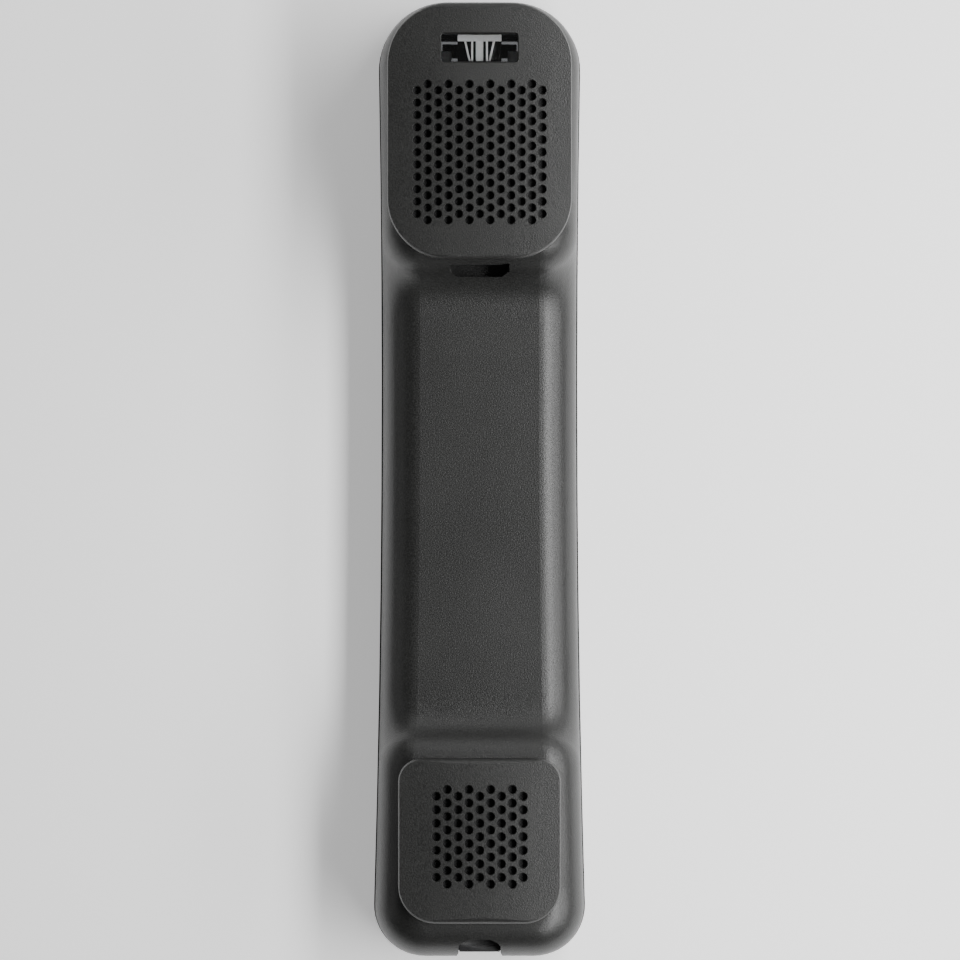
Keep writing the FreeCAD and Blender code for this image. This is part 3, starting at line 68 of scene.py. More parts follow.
paper = bpy.data.materials.new("table_paper")
paper.use_nodes = True
paper_shader = paper.node_tree.nodes["Principled BSDF"]
paper_shader.inputs["Roughness"].default_value = 0.9
paper_shader.inputs["Base Color"].default_value = (0.93, 0.93, 0.93, 1)
paper_shader.inputs["Emission Color"].default_value = (1, 1, 1, 1)
paper_shader.inputs["Emission Strength"].default_value = 0.42
table_top.data.materials.append(paper)


def soft_box(name, place, size, power, aim=(0, 0, 0.02)):
    """A rectangular studio light at a place, turned to face a point."""
    light = bpy.data.lights.new(name, "AREA")
    light.shape = "RECTANGLE"
    light.size, light.size_y = size
    light.energy = power
    lamp = bpy.data.objects.new(name, light)
    bpy.context.scene.collection.objects.link(lamp)
    lamp.location = place
    direction = Vector(aim) - Vector(place)
    lamp.rotation_mode = "QUATERNION"
    lamp.visible_camera = False
    lamp.rotation_quaternion = direction.to_track_quat("-Z", "Y")
    return lamp


soft_box("right_strip", (0.17, 0.0, 0.30), (0.70, 0.075), 2.5)
soft_box("right_low_strip", (0.36, 0.0, 0.24), (0.70, 0.12), 1.5)
soft_box("left_soft_box", (-0.75, 0.05, 0.40), (0.9, 0.3), 0.45)
soft_box("far_soft_box", (0.1, 1.2, 0.55), (1.2, 0.4), 2.4)

world = bpy.data.worlds.new("studio")
bpy.context.scene.world = world
world.use_nodes = True
world.node_tree.nodes["Background"].inputs["Color"].default_value = (1, 1, 1, 1)
world.node_tree.nodes["Background"].inputs["Strength"].default_value = 0.09

# a long lens far above the face, so that the sides hardly show
camera_height = 3.2
camera_data = bpy.data.cameras.new("camera")
camera_data.lens = camera_data.sensor_width * (camera_height - cad_high.z / 2) / (span * 960 / 955)
camera = bpy.data.objects.new("camera", camera_data)
bpy.context.scene.collection.objects.link(camera)
camera.location = (0.0001, -0.0001, camera_height)
bpy.context.scene.camera = camera

# ---------------------------------------------------------------- front and rear shells
# Two charcoal ABS mouldings that meet along a line round the middle. Their outside has a fine
# spark-eroded texture, a little shinier where hands rub it.


def new_material(name, color, roughness, metallic=0.0):
    """A material whose fixed values sit on the shader itself. Gives it, its nodes and its shader."""
    material = bpy.data.materials.new(name)
    material.use_nodes = True
    shader = material.node_tree.nodes["Principled BSDF"]
    shader.inputs["Base Color"].default_value = (*color, 1)
    shader.inputs["Roughness"].default_value = roughness
    shader.inputs["Metallic"].default_value = metallic
    return material, material.node_tree, shader


def group_with(name, inputs, outputs):
    """An empty node group with named sockets."""
    group = bpy.data.node_groups.new(name, "ShaderNodeTree")
    for title, kind in inputs:
        group.interface.new_socket(title, in_out="INPUT", socket_type="NodeSocket" + kind)
    for title, kind in outputs:
        group.interface.new_socket(title, in_out="OUTPUT", socket_type="NodeSocket" + kind)
    return group, group.nodes.new("NodeGroupInput"), group.nodes.new("NodeGroupOutput")


def grain_group():
    """Two sizes of soft noise on the piece's own coordinates: a mottled colour, gloss and height."""
    group, given, made = group_with("moulded_grain", [
        ("Dark", "Color"), ("Light", "Color"), ("Scale", "Float"), ("Roughness", "Float"),
        ("Spread", "Float")], [("Color", "Color"), ("Roughness", "Float"), ("Height", "Float")])
    link = group.links.new
    place = group.nodes.new("ShaderNodeTexCoord")
    fine = group.nodes.new("ShaderNodeTexNoise")
    fine.inputs["Detail"].default_value = 2.0
    link(place.outputs["Object"], fine.inputs["Vector"])
    link(given.outputs["Scale"], fine.inputs["Scale"])
    broad = group.nodes.new("ShaderNodeTexNoise")
    broad.inputs["Scale"].default_value = 38.0
    broad.inputs["Detail"].default_value = 4.0
    link(place.outputs["Object"], broad.inputs["Vector"])
    both = group.nodes.new("ShaderNodeMath")
    both.operation = "MULTIPLY_ADD"
    link(broad.outputs["Fac"], both.inputs[0])
    both.inputs[1].default_value = 0.35
    link(fine.outputs["Fac"], both.inputs[2])
    spread = group.nodes.new("ShaderNodeMapRange")
    spread.inputs["From Min"].default_value = 0.45
    spread.inputs["From Max"].default_value = 0.9
    link(both.outputs[0], spread.inputs["Value"])
    tint = group.nodes.new("ShaderNodeMix")
    tint.data_type = "RGBA"
    link(spread.outputs["Result"], tint.inputs["Factor"])
    link(given.outputs["Dark"], tint.inputs["A"])
    link(given.outputs["Light"], tint.inputs["B"])
    gloss = group.nodes.new("ShaderNodeMath")
    gloss.operation = "MULTIPLY_ADD"
    link(spread.outputs["Result"], gloss.inputs[0])
    link(given.outputs["Spread"], gloss.inputs[1])
    link(given.outputs["Roughness"], gloss.inputs[2])
    link(tint.outputs["Result"], made.inputs["Color"])
    link(gloss.outputs[0], made.inputs["Roughness"])
    link(fine.outputs["Fac"], made.inputs["Height"])
    return group


moulded_grain = grain_group()


def add_bump(tree, shader, height, strength, depth):
    bump = tree.nodes.new("ShaderNodeBump")
    bump.inputs["Strength"].default_value = strength
    bump.inputs["Distance"].default_value = depth
    tree.links.new(height, bump.inputs["Height"])
    tree.links.new(bump.outputs["Normal"], shader.inputs["Normal"])
    return bump


def grained(name, dark, light, roughness, spread, scale, depth, strength=0.5, metallic=0.0, specular=0.5):
    """A moulded, cast or rolled finish: mottled colour and gloss over a fine bump."""
    material, tree, shader = new_material(name, dark, roughness, metallic)
    shader.inputs["Specular IOR Level"].default_value = specular
    grain = tree.nodes.new("ShaderNodeGroup")
    grain.node_tree = moulded_grain
    grain.inputs["Dark"].default_value = (*dark, 1)
    grain.inputs["Light"].default_value = (*light, 1)
    grain.inputs["Scale"].default_value = scale
    grain.inputs["Roughness"].default_value = roughness
    grain.inputs["Spread"].default_value = spread
    tree.links.new(grain.outputs["Color"], shader.inputs["Base Color"])
    tree.links.new(grain.outputs["Roughness"], shader.inputs["Roughness"])
    add_bump(tree, shader, grain.outputs["Height"], strength, depth)
    return material


def finish(name, material):
    """Gives a carried-over piece its material."""
    piece = nodes[name]
    piece.data.materials.clear()
    piece.data.materials.append(material)


charcoal_plastic = grained("charcoal_plastic", (0.0055, 0.0056, 0.0053), (0.018, 0.0183, 0.0174), 0.33, 0.09,
                           3300, 0.00009, strength=0.55, specular=0.62)
for name in ("front_shell", "rear_shell"):
    finish(name, charcoal_plastic)

# ---------------------------------------------------------------- face window and lamp lens
# The window is a polished clear acrylic plate snapped in from behind. The lens is the same acrylic,
# slightly smoked, and closes the slot in the back.


def clear_acrylic(name, tint, roughness):
    material, tree, shader = new_material(name, tint, roughness)
    shader.inputs["Transmission Weight"].default_value = 1.0
    shader.inputs["IOR"].default_value = 1.49
    place = tree.nodes.new("ShaderNodeTexCoord")
    flow = tree.nodes.new("ShaderNodeTexNoise")
    flow.inputs["Scale"].default_value = 420.0
    tree.links.new(place.outputs["Object"], flow.inputs["Vector"])
    smear = tree.nodes.new("ShaderNodeMapRange")
    smear.inputs["To Min"].default_value = roughness
    smear.inputs["To Max"].default_value = roughness * 2.5
    tree.links.new(flow.outputs["Fac"], smear.inputs["Value"])
    tree.links.new(smear.outputs["Result"], shader.inputs["Roughness"])
    add_bump(tree, shader, flow.outputs["Fac"], 0.15, 0.00005)
    return material


finish("face_window", clear_acrylic("window_acrylic", (0.80, 0.82, 0.83), 0.02))
finish("lamp_lens", clear_acrylic("lens_acrylic", (0.42, 0.42, 0.43), 0.05))

# ---------------------------------------------------------------- light guide
# One clear moulding behind the window: a bar and a column that carry the lamp's light, four thin ribs
# raking out from the column's foot, a floor that joins them and a stem down to the lens.


def only(test, kind="FACE"):
    """Selects just the faces, edges or points of the piece in edit mode that pass a test of their middle."""
    bpy.ops.mesh.select_mode(type=kind)
    bpy.ops.mesh.select_all(action="DESELECT")
    shape = bmesh.from_edit_mesh(bpy.context.edit_object.data)
    if kind == "VERT":
        for point in shape.verts:
            point.select_set(test(point.co, point.normal))
    elif kind == "EDGE":
        for edge in shape.edges:
            ends = [point.co for point in edge.verts]
            edge.select_set(test((ends[0] + ends[1]) / 2, (ends[1] - ends[0]).normalized()))
    else:
        for face in shape.faces:
            face.select_set(test(face.calc_center_median(), face.normal))
    shape.select_flush_mode()
    bmesh.update_edit_mesh(bpy.context.edit_object.data)


def start_block(low, high):
    """A block between two corners, in edit mode, ready to be shaped."""
    bpy.ops.object.select_all(action="DESELECT")
    middle = [(a + b) / 2 for a, b in zip(low, high)]
    bpy.ops.mesh.primitive_cube_add(size=1, location=middle)
    block = bpy.context.object
    block.scale = [b - a for a, b in zip(low, high)]
    bpy.ops.object.transform_apply(location=True, rotation=True, scale=True)
    bpy.ops.object.mode_set(mode="EDIT")
    return block


def soften(width, segments=2, angle=0.6):
    """Leaves edit mode and rounds the sharp edges of the piece just shaped."""
    bpy.ops.object.mode_set(mode="OBJECT")
    piece = bpy.context.object
    edge_round = piece.modifiers.new("edge_round", "BEVEL")
    edge_round.width = width
    edge_round.segments = segments
    edge_round.limit_method = "ANGLE"
    edge_round.angle_limit = angle
    bpy.ops.object.modifier_apply(modifier=edge_round.name)
    bpy.ops.object.shade_smooth_by_angle(angle=0.6)
    return piece


def as_one(name, blocks):
    """Joins blocks into one piece at the origin."""
    bpy.ops.object.select_all(action="DESELECT")
    for block in blocks:
        block.select_set(True)
    bpy.context.view_layer.objects.active = blocks[0]
    if len(blocks) > 1:
        bpy.ops.object.join()
    piece = bpy.context.object
    bpy.ops.object.transform_apply(location=True, rotation=True, scale=True)
    piece.name = piece.data.name = name
    bpy.ops.object.select_all(action="DESELECT")
    return piece


def fit_out(piece, body, slot, material, *replaced):
    """Puts a finished piece on its body with its finish, in place of the plain solids it stands for."""
    piece.data.materials.clear()
    piece.data.materials.append(material)
    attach(piece, body)
    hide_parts(*replaced)
    return piece


guide_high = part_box("light_guide")[1]
window_low, window_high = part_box("face_window")
window_middle = (window_low.y + window_high.y) / 2
lens_box_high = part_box("lamp_lens")[1]
guide_top = guide_high.z
fan_back = guide_top - 0.0056
bar_half, bar_low, fan_low, fan_high = 0.0047, window_middle + 0.0014, window_middle - 0.00285, guide_high.y


def guide_slab(low, high, bevel):
    """One plain bar of the moulding with its edges softened and its top drawn in a little."""
    start_block(low, high)
    only(lambda middle, normal: normal.z > 0.9)
    bpy.ops.mesh.inset(thickness=bevel)
    bpy.ops.transform.translate(value=(0, 0, -bevel * 0.4))
    return soften(bevel * 0.6)


def guide_blade(foot, head, half):
    """One raking blade: a block whose two ends are slid sideways in edit mode."""
    start_block((-half, fan_low, fan_back), (half, bar_low + 0.0002, guide_top - 0.0002))
    only(lambda point, normal: point.y < window_middle, "VERT")
    bpy.ops.transform.translate(value=(foot, 0, 0))
    only(lambda point, normal: point.y > window_middle, "VERT")
    bpy.ops.transform.translate(value=(head, 0, 0))
    only(lambda middle, normal: normal.z > 0.9)
    bpy.ops.mesh.inset(thickness=half * 0.35)
    return soften(half * 0.3)


guide_blocks = [
    guide_slab((-bar_half, bar_low, fan_back), (bar_half, fan_high, guide_top), 0.0003),
    guide_slab((-0.0008, fan_low, fan_back), (0.0008, bar_low + 0.0002, guide_top), 0.0002),
    guide_slab((-bar_half, fan_low, fan_back - 0.0022), (bar_half, fan_high, fan_back + 0.0001), 0.0003),
    guide_slab((-0.003, window_middle - 0.0015, lens_box_high.z), (0.003, window_middle + 0.0015, fan_back),
               0.0003),
    guide_slab((-0.008, window_middle - 0.0015, lens_box_high.z),
               (0.008, window_middle + 0.0015, lens_box_high.z + 0.002), 0.0003),
]
for side in (-1, 1):
    guide_blocks.append(guide_blade(side * 0.00158, side * 0.00158, 0.00022))
    guide_blocks.append(guide_blade(side * 0.00212, side * 0.00312, 0.00022))
guide_piece = as_one("fan_light_guide", guide_blocks)

# painted highlight and painted shade: the base colour is light grey on the facets near the window, where they
# catch the light, and near black deeper down, where the clear plastic looks dark
guide_material, tree, shader = new_material("guide_acrylic", (0.7, 0.7, 0.7), 0.16)
place = tree.nodes.new("ShaderNodeTexCoord")
split = tree.nodes.new("ShaderNodeSeparateXYZ")
depth = tree.nodes.new("ShaderNodeMapRange")
depth.inputs["From Min"].default_value = guide_top - 0.0030
depth.inputs["From Max"].default_value = guide_top - 0.0002
shade = tree.nodes.new("ShaderNodeValToRGB")
shade.color_ramp.elements[0].color = (0.012, 0.012, 0.012, 1)
shade.color_ramp.elements[1].color = (0.82, 0.79, 0.78, 1)
tree.links.new(place.outputs["Object"], split.inputs["Vector"])
tree.links.new(split.outputs["Z"], depth.inputs["Value"])
tree.links.new(depth.outputs["Result"], shade.inputs["Fac"])
tree.links.new(shade.outputs["Color"], shader.inputs["Base Color"])
ripple = tree.nodes.new("ShaderNodeTexNoise")
ripple.inputs["Scale"].default_value = 900.0
tree.links.new(place.outputs["Object"], ripple.inputs["Vector"])
add_bump(tree, shader, ripple.outputs["Fac"], 0.2, 0.00006)
fit_out(guide_piece, "handset", "clear_plastic", guide_material, "light_guide")

# ---------------------------------------------------------------- acoustic cloths
# Black woven polyester glued behind the sound holes, cut to rounded rectangles. The threads stand up
# in a plain weave about a third of a millimetre apart.


def weave_group():
    """Height of a plain weave from the piece's own coordinates, and a painted shade: darker in its valleys,
    lighter on its crowns.
    """
    group, given, made = group_with("plain_weave", [("Pitch", "Float")],
                                    [("Height", "Float"), ("Shade", "Float")])
    link = group.links.new
    place = group.nodes.new("ShaderNodeTexCoord")
    split = group.nodes.new("ShaderNodeSeparateXYZ")
    link(place.outputs["Object"], split.inputs["Vector"])
    waves = []
    for axis in ("X", "Y"):
        turn = group.nodes.new("ShaderNodeMath")
        turn.operation = "DIVIDE"
        link(split.outputs[axis], turn.inputs[0])
        link(given.outputs["Pitch"], turn.inputs[1])
        wave = group.nodes.new("ShaderNodeMath")
        wave.operation = "SINE"
        link(turn.outputs[0], wave.inputs[0])
        waves.append(wave)
    cross = group.nodes.new("ShaderNodeMath")
    cross.operation = "MULTIPLY"
    link(waves[0].outputs[0], cross.inputs[0])
    link(waves[1].outputs[0], cross.inputs[1])
    shade = group.nodes.new("ShaderNodeMapRange")
    shade.inputs["From Min"].default_value = -1.0
    link(cross.outputs[0], shade.inputs["Value"])
    link(shade.outputs["Result"], made.inputs["Height"])
    link(shade.outputs["Result"], made.inputs["Shade"])
    return group


plain_weave = weave_group()
black_cloth, tree, shader = new_material("black_cloth", (0.012, 0.012, 0.012), 0.85)
shader.inputs["Sheen Weight"].default_value = 0.2
weave = tree.nodes.new("ShaderNodeGroup")
weave.node_tree = plain_weave
weave.inputs["Pitch"].default_value = 0.00011
# painted shade: the cloth's colour is darker in the valleys between the threads and lighter on their crowns
painted_weave_shade = tree.nodes.new("ShaderNodeValToRGB")
painted_weave_shade.color_ramp.elements[0].color = (0.004, 0.004, 0.004, 1)
painted_weave_shade.color_ramp.elements[1].color = (0.022, 0.022, 0.023, 1)
tree.links.new(weave.outputs["Shade"], painted_weave_shade.inputs["Fac"])
tree.links.new(painted_weave_shade.outputs["Color"], shader.inputs["Base Color"])
add_bump(tree, shader, weave.outputs["Height"], 0.6, 0.00008)

cloth_corner = 0.0025
for name in ("ear_cloth", "mouth_cloth"):
    cloth_low, cloth_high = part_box(name)
    start_block(cloth_low, cloth_high)
    only(lambda middle, along: abs(along.z) > 0.9, "EDGE")
    bpy.ops.mesh.bevel(offset=cloth_corner, segments=6)
    only(lambda middle, normal: abs(normal.z) > 0.9)
    bpy.ops.mesh.inset(thickness=0.0004)
    soften(0.00004, 1)
    cloth = as_one(name + "_weave", [bpy.context.object])
    fit_out(cloth, "handset", "cloth", black_cloth, name)

# ---------------------------------------------------------------- foam gasket and ballast pads
# Closed-cell foam, die-cut with soft edges: a ring that seals the receiver to the ear pod, and four
# pads that stop the ballast from rattling.
closed_cell_foam, tree, shader = new_material("closed_cell_foam", (0.02, 0.02, 0.021), 0.9)
place = tree.nodes.new("ShaderNodeTexCoord")
cells = tree.nodes.new("ShaderNodeTexVoronoi")
cells.inputs["Scale"].default_value = 2600.0
tree.links.new(place.outputs["Object"], cells.inputs["Vector"])
# painted shade: the foam's colour is darker in the hollows of its cells and lighter on the cell walls
painted_cell_shade = tree.nodes.new("ShaderNodeValToRGB")
painted_cell_shade.color_ramp.elements[0].color = (0.008, 0.008, 0.009, 1)
painted_cell_shade.color_ramp.elements[1].color = (0.050, 0.050, 0.053, 1)
tree.links.new(cells.outputs["Distance"], painted_cell_shade.inputs["Fac"])
tree.links.new(painted_cell_shade.outputs["Color"], shader.inputs["Base Color"])
add_bump(tree, shader, cells.outputs["Distance"], 0.8, 0.00015)


def softened_copy(name, width, segments=2):
    """A merged copy of a plain solid with its edges rounded, at the origin."""
    bpy.ops.object.select_all(action="DESELECT")
    plain = nodes[name]
    piece = bpy.data.objects.new(name + "_finished", plain.data.copy())
    bpy.context.scene.collection.objects.link(piece)
    piece.select_set(True)
    bpy.context.view_layer.objects.active = piece
    bpy.ops.object.mode_set(mode="EDIT")
    bpy.ops.mesh.select_all(action="SELECT")
    bpy.ops.mesh.remove_doubles(threshold=0.00001)
    bpy.ops.mesh.dissolve_limited(angle_limit=0.02)
    bpy.ops.object.mode_set(mode="OBJECT")
    edge_round = piece.modifiers.new("edge_round", "BEVEL")
    edge_round.width = width
    edge_round.segments = segments
    edge_round.limit_method = "ANGLE"
    edge_round.angle_limit = 0.7
    edge_round.use_clamp_overlap = True
    bpy.ops.object.modifier_apply(modifier=edge_round.name)
    bpy.ops.object.shade_smooth_by_angle(angle=0.6)
    bpy.ops.object.select_all(action="DESELECT")
    return piece


for name in ("receiver_gasket", "ballast_pads"):
    seal = fit_out(softened_copy(name, 0.0002, 3), "handset", "foam", closed_cell_foam, name)

# ---------------------------------------------------------------- microphone boot
# Black silicone rubber, moulded in one piece with its flange; a little dust clings to it.
silicone = grained("boot_silicone", (0.014, 0.014, 0.014), (0.034, 0.034, 0.034), 0.62, 0.2, 1800, 0.00006)
fit_out(softened_copy("microphone_boot", 0.0003, 3), "handset", "rubber_boot", silicone, "microphone_boot")

# ---------------------------------------------------------------- pressed and rolled steel
# The receiver's grille, yoke, pole plate and clamp are zinc-plated sheet; the ballast bars are hot
# rolled and tumbled, with rounder edges and darker scale.


def brushed(name, dark, light, roughness, stretch, scale=900.0):
    """Plated or rolled metal: streaks along one direction over a slightly uneven gloss."""
    material, tree, shader = new_material(name, dark, roughness, 1.0)
    place = tree.nodes.new("ShaderNodeTexCoord")
    drawn = tree.nodes.new("ShaderNodeMapping")
    drawn.inputs["Scale"].default_value = stretch
    streak = tree.nodes.new("ShaderNodeTexNoise")
    streak.inputs["Scale"].default_value = scale
    streak.inputs["Detail"].default_value = 3.0
    tree.links.new(place.outputs["Object"], drawn.inputs["Vector"])
    tree.links.new(drawn.outputs["Vector"], streak.inputs["Vector"])
    tone = tree.nodes.new("ShaderNodeValToRGB")
    tone.color_ramp.elements[0].position = 0.3
    tone.color_ramp.elements[0].color = (*dark, 1)
    tone.color_ramp.elements[1].position = 0.75
    tone.color_ramp.elements[1].color = (*light, 1)
    tree.links.new(streak.outputs["Fac"], tone.inputs["Fac"])
    tree.links.new(tone.outputs["Color"], shader.inputs["Base Color"])
    gloss = tree.nodes.new("ShaderNodeMapRange")
    gloss.inputs["To Min"].default_value = roughness
    gloss.inputs["To Max"].default_value = roughness + 0.2
    tree.links.new(streak.outputs["Fac"], gloss.inputs["Value"])
    tree.links.new(gloss.outputs["Result"], shader.inputs["Roughness"])
    add_bump(tree, shader, streak.outputs["Fac"], 0.25, 0.00003)
    return material


zinc_sheet = brushed("zinc_sheet", (0.42, 0.43, 0.45), (0.66, 0.66, 0.64), 0.28, (1, 0.06, 1))
tumbled_steel = brushed("tumbled_steel", (0.17, 0.17, 0.18), (0.36, 0.36, 0.37), 0.42, (1, 0.3, 1), 500.0)
nickel_magnet = brushed("nickel_magnet", (0.50, 0.49, 0.46), (0.68, 0.67, 0.63), 0.16, (1, 1, 0.1))
for name in ("receiver_grille", "receiver_yoke", "receiver_clamp", "receiver_pole_plate"):
    fit_out(softened_copy(name, 0.0001), "handset", "steel", zinc_sheet, name)
for name in ("ballast_upper", "ballast_lower"):
    fit_out(softened_copy(name, 0.0005, 3), "handset", "ballast_steel", tumbled_steel, name)
fit_out(softened_copy("receiver_magnet", 0.0003, 3), "handset", "magnet", nickel_magnet, "receiver_magnet")

# ---------------------------------------------------------------- screws and washers
# Bright zinc pan-head screws with a slot, and plain washers under the ballast's. One screw is turned
# for each length: a domed head, its slot, and a thread of raised rings down to a blunt point.
bright_zinc = brushed("bright_zinc", (0.52, 0.52, 0.52), (0.74, 0.73, 0.70), 0.22, (1, 1, 0.2), 1500.0)


def turned_screw(name, shank):
    """One screw, head up, its seat at the origin."""
    bpy.ops.object.select_all(action="DESELECT")
    bpy.ops.mesh.primitive_circle_add(vertices=24, radius=0.0010, fill_type="NGON",
                                      location=(0, 0, -shank + 0.0004))
    bpy.ops.object.transform_apply(location=True, rotation=True, scale=True)
    bpy.ops.object.mode_set(mode="EDIT")
    bpy.ops.mesh.select_all(action="SELECT")
    bpy.ops.transform.resize(value=(0.6, 0.6, 1))
    bpy.ops.transform.translate(value=(0, 0, -0.0004))
    bpy.ops.mesh.extrude_region_move(TRANSFORM_OT_translate={"value": (0, 0, 0.0004)})
    bpy.ops.transform.resize(value=(1.0 / 0.6 * 0.8, 1.0 / 0.6 * 0.8, 1))
    turns = int((shank - 0.0006) / 0.0004)
    for turn in range(turns):
        for grow in (1.25, 0.8):
            bpy.ops.mesh.extrude_region_move(TRANSFORM_OT_translate={"value": (0, 0, 0.0002)})
            bpy.ops.transform.resize(value=(grow, grow, 1))
    left = shank - 0.0004 - turns * 0.0004
    bpy.ops.mesh.extrude_region_move(TRANSFORM_OT_translate={"value": (0, 0, left)})
    bpy.ops.mesh.extrude_region_move(TRANSFORM_OT_translate={"value": (0, 0, 0)})
    bpy.ops.transform.resize(value=(2.25, 2.25, 1))
    bpy.ops.mesh.extrude_region_move(TRANSFORM_OT_translate={"value": (0, 0, 0.0007)})
    bpy.ops.mesh.extrude_region_move(TRANSFORM_OT_translate={"value": (0, 0, 0.0003)})
    bpy.ops.transform.resize(value=(0.9, 0.9, 1))
    bpy.ops.mesh.extrude_region_move(TRANSFORM_OT_translate={"value": (0, 0, 0.0002)})
    bpy.ops.transform.resize(value=(0.72, 0.72, 1))
    bpy.ops.mesh.select_all(action="SELECT")
    bpy.ops.mesh.normals_make_consistent(inside=False)
    bpy.ops.object.mode_set(mode="OBJECT")
    screw = bpy.context.object
    bpy.ops.object.select_all(action="DESELECT")
    start_block((-0.0012, -0.00025, 0.0006), (0.0012, 0.00025, 0.0020))
    bpy.ops.object.mode_set(mode="OBJECT")
    slot_tool = bpy.context.object
    slot_cut = screw.modifiers.new("slot_cut", "BOOLEAN")
    slot_cut.operation = "DIFFERENCE"
    slot_cut.object = slot_tool
    bpy.context.view_layer.objects.active = screw
    bpy.ops.object.modifier_apply(modifier=slot_cut.name)
    bpy.data.objects.remove(slot_tool)
    screw.name = name
    bpy.ops.object.select_all(action="DESELECT")
    return screw


long_screw = turned_screw("long_screw", 0.006)
short_screw = turned_screw("short_screw", 0.0022)


def middles(name):
    """The middle and box of each separate solid in a grouped piece."""
    shape = bmesh.new()
    shape.from_mesh(nodes[name].data)
    bmesh.ops.remove_doubles(shape, verts=shape.verts, dist=0.000001)
    left = set(shape.verts)
    boxes = []
    while left:
        queue = [left.pop()]
        island = []
        while queue:
            point = queue.pop()
            island.append(point.co.copy())
            for edge in point.link_edges:
                other = edge.other_vert(point)
                if other in left:
                    left.remove(other)
                    queue.append(other)
        lowest = Vector([min(point[n] for point in island) for n in range(3)])
        highest = Vector([max(point[n] for point in island) for n in range(3)])
        boxes.append((lowest, highest))
    shape.free()
    return sorted(boxes, key=lambda ends: (round(ends[0].x, 5), round(ends[0].y, 5)))


def drive_in(name, pattern, points_up, slot, material):
    """Copies of one screw at each place of a grouped piece, joined to stand for it."""
    copies = []
    for lowest, highest in middles(name):
        copy = bpy.data.objects.new(name + "_one", pattern.data.copy())
        bpy.context.scene.collection.objects.link(copy)
        seat = lowest.z + 0.0012 if points_up else highest.z - 0.0012
        copy.location = ((lowest.x + highest.x) / 2, (lowest.y + highest.y) / 2, seat)
        copy.rotation_euler = (math.pi if points_up else 0, 0, 0)
        copies.append(copy)
    bpy.ops.object.select_all(action="DESELECT")
    for copy in copies:
        copy.select_set(True)
    bpy.context.view_layer.objects.active = copies[0]
    bpy.ops.object.transform_apply(location=True, rotation=True, scale=True)
    bpy.ops.object.join()
    joined = bpy.context.object
    joined.name = joined.data.name = name + "_turned"
    bpy.ops.object.shade_smooth_by_angle(angle=0.5)
    bpy.ops.object.select_all(action="DESELECT")
    return fit_out(joined, "handset", slot, material, name)


drive_in("clamp_screws", long_screw, True, "screw_steel", bright_zinc)
drive_in("retainer_screws", long_screw, True, "screw_steel", bright_zinc)
drive_in("ballast_screws", long_screw, False, "screw_steel", bright_zinc)
drive_in("board_screws", short_screw, False, "screw_steel", bright_zinc)
for pattern in (long_screw, short_screw):
    bpy.data.objects.remove(pattern)
fit_out(softened_copy("ballast_washers", 0.0001), "handset", "screw_steel", bright_zinc, "ballast_washers")

# ---------------------------------------------------------------- receiver basket and microphone retainer
# Glass-filled nylon, injection moulded, with the fibres just showing in its matte skin.
filled_nylon = grained("filled_nylon", (0.018, 0.018, 0.019), (0.050, 0.050, 0.053), 0.5, 0.25, 1500, 0.00008)
for name in ("receiver_basket", "microphone_retainer"):
    fit_out(softened_copy(name, 0.00015), "handset", "basket_plastic", filled_nylon, name)

# ---------------------------------------------------------------- diaphragm, surround and voice coil
# A thin amber film, heat-formed into a dome and a half-round roll, whose rim is glued to a flat ring.
# The coil of enamelled copper wire hangs from the foot of the dome.


def turned(name, centre, profile, sides=72):
    """A closed round piece drawn up ring by ring: (radius, height) pairs that end where they began."""
    radius, height = profile[0]
    bpy.ops.object.select_all(action="DESELECT")
    bpy.ops.mesh.primitive_circle_add(vertices=sides, radius=radius, location=(centre[0], centre[1], height))
    bpy.ops.object.transform_apply(location=True, rotation=True, scale=True)
    bpy.ops.object.mode_set(mode="EDIT")
    bpy.ops.mesh.select_mode(type="VERT")
    bpy.ops.mesh.select_all(action="SELECT")
    for next_radius, next_height in profile[1:]:
        bpy.ops.mesh.extrude_region_move(TRANSFORM_OT_translate={"value": (0, 0, next_height - height)})
        bpy.ops.transform.resize(value=(next_radius / radius, next_radius / radius, 1),
                                 center_override=(centre[0], centre[1], next_height))
        radius, height = next_radius, next_height
    bpy.ops.mesh.select_all(action="SELECT")
    bpy.ops.mesh.remove_doubles(threshold=0.000002)
    bpy.ops.mesh.normals_make_consistent(inside=False)
    bpy.ops.object.mode_set(mode="OBJECT")
    bpy.ops.object.shade_smooth_by_angle(angle=0.7)
    return as_one(name, [bpy.context.object])


def film_finish(name, dark, light):
    material, tree, shader = new_material(name, dark, 0.2)
    shader.inputs["Coat Weight"].default_value = 0.4
    place = tree.nodes.new("ShaderNodeTexCoord")
    cloud = tree.nodes.new("ShaderNodeTexNoise")
    cloud.inputs["Scale"].default_value = 260.0
    tree.links.new(place.outputs["Object"], cloud.inputs["Vector"])
    tone = tree.nodes.new("ShaderNodeValToRGB")
    tone.color_ramp.elements[0].color = (*dark, 1)
    tone.color_ramp.elements[1].color = (*light, 1)
    tree.links.new(cloud.outputs["Fac"], tone.inputs["Fac"])
    tree.links.new(tone.outputs["Color"], shader.inputs["Base Color"])
    add_bump(tree, shader, cloud.outputs["Fac"], 0.2, 0.00004)
    return material


amber_film = film_finish("amber_film", (0.42, 0.31, 0.13), (0.62, 0.50, 0.26))
film_low, film_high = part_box("receiver_diaphragm")
coil_low, coil_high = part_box("receiver_voice_coil")
speaker = (0.0, (film_low.y + film_high.y) / 2)
rim_radius = (film_high.x - film_low.x) / 2
coil_radius = (coil_high.x - coil_low.x) / 2
film_thick, dome_rise, roll_rise = 0.00025, film_high.z - film_low.z - 0.00025, 0.0006


def dome_height(radius):
    return dome_rise * (1 - (radius / coil_radius) ** 2)


def roll_height(radius):
    across = (radius - coil_radius) / (rim_radius - 0.0003 - coil_radius)
    return roll_rise * math.sin(math.pi * min(max(across, 0.0), 1.0))


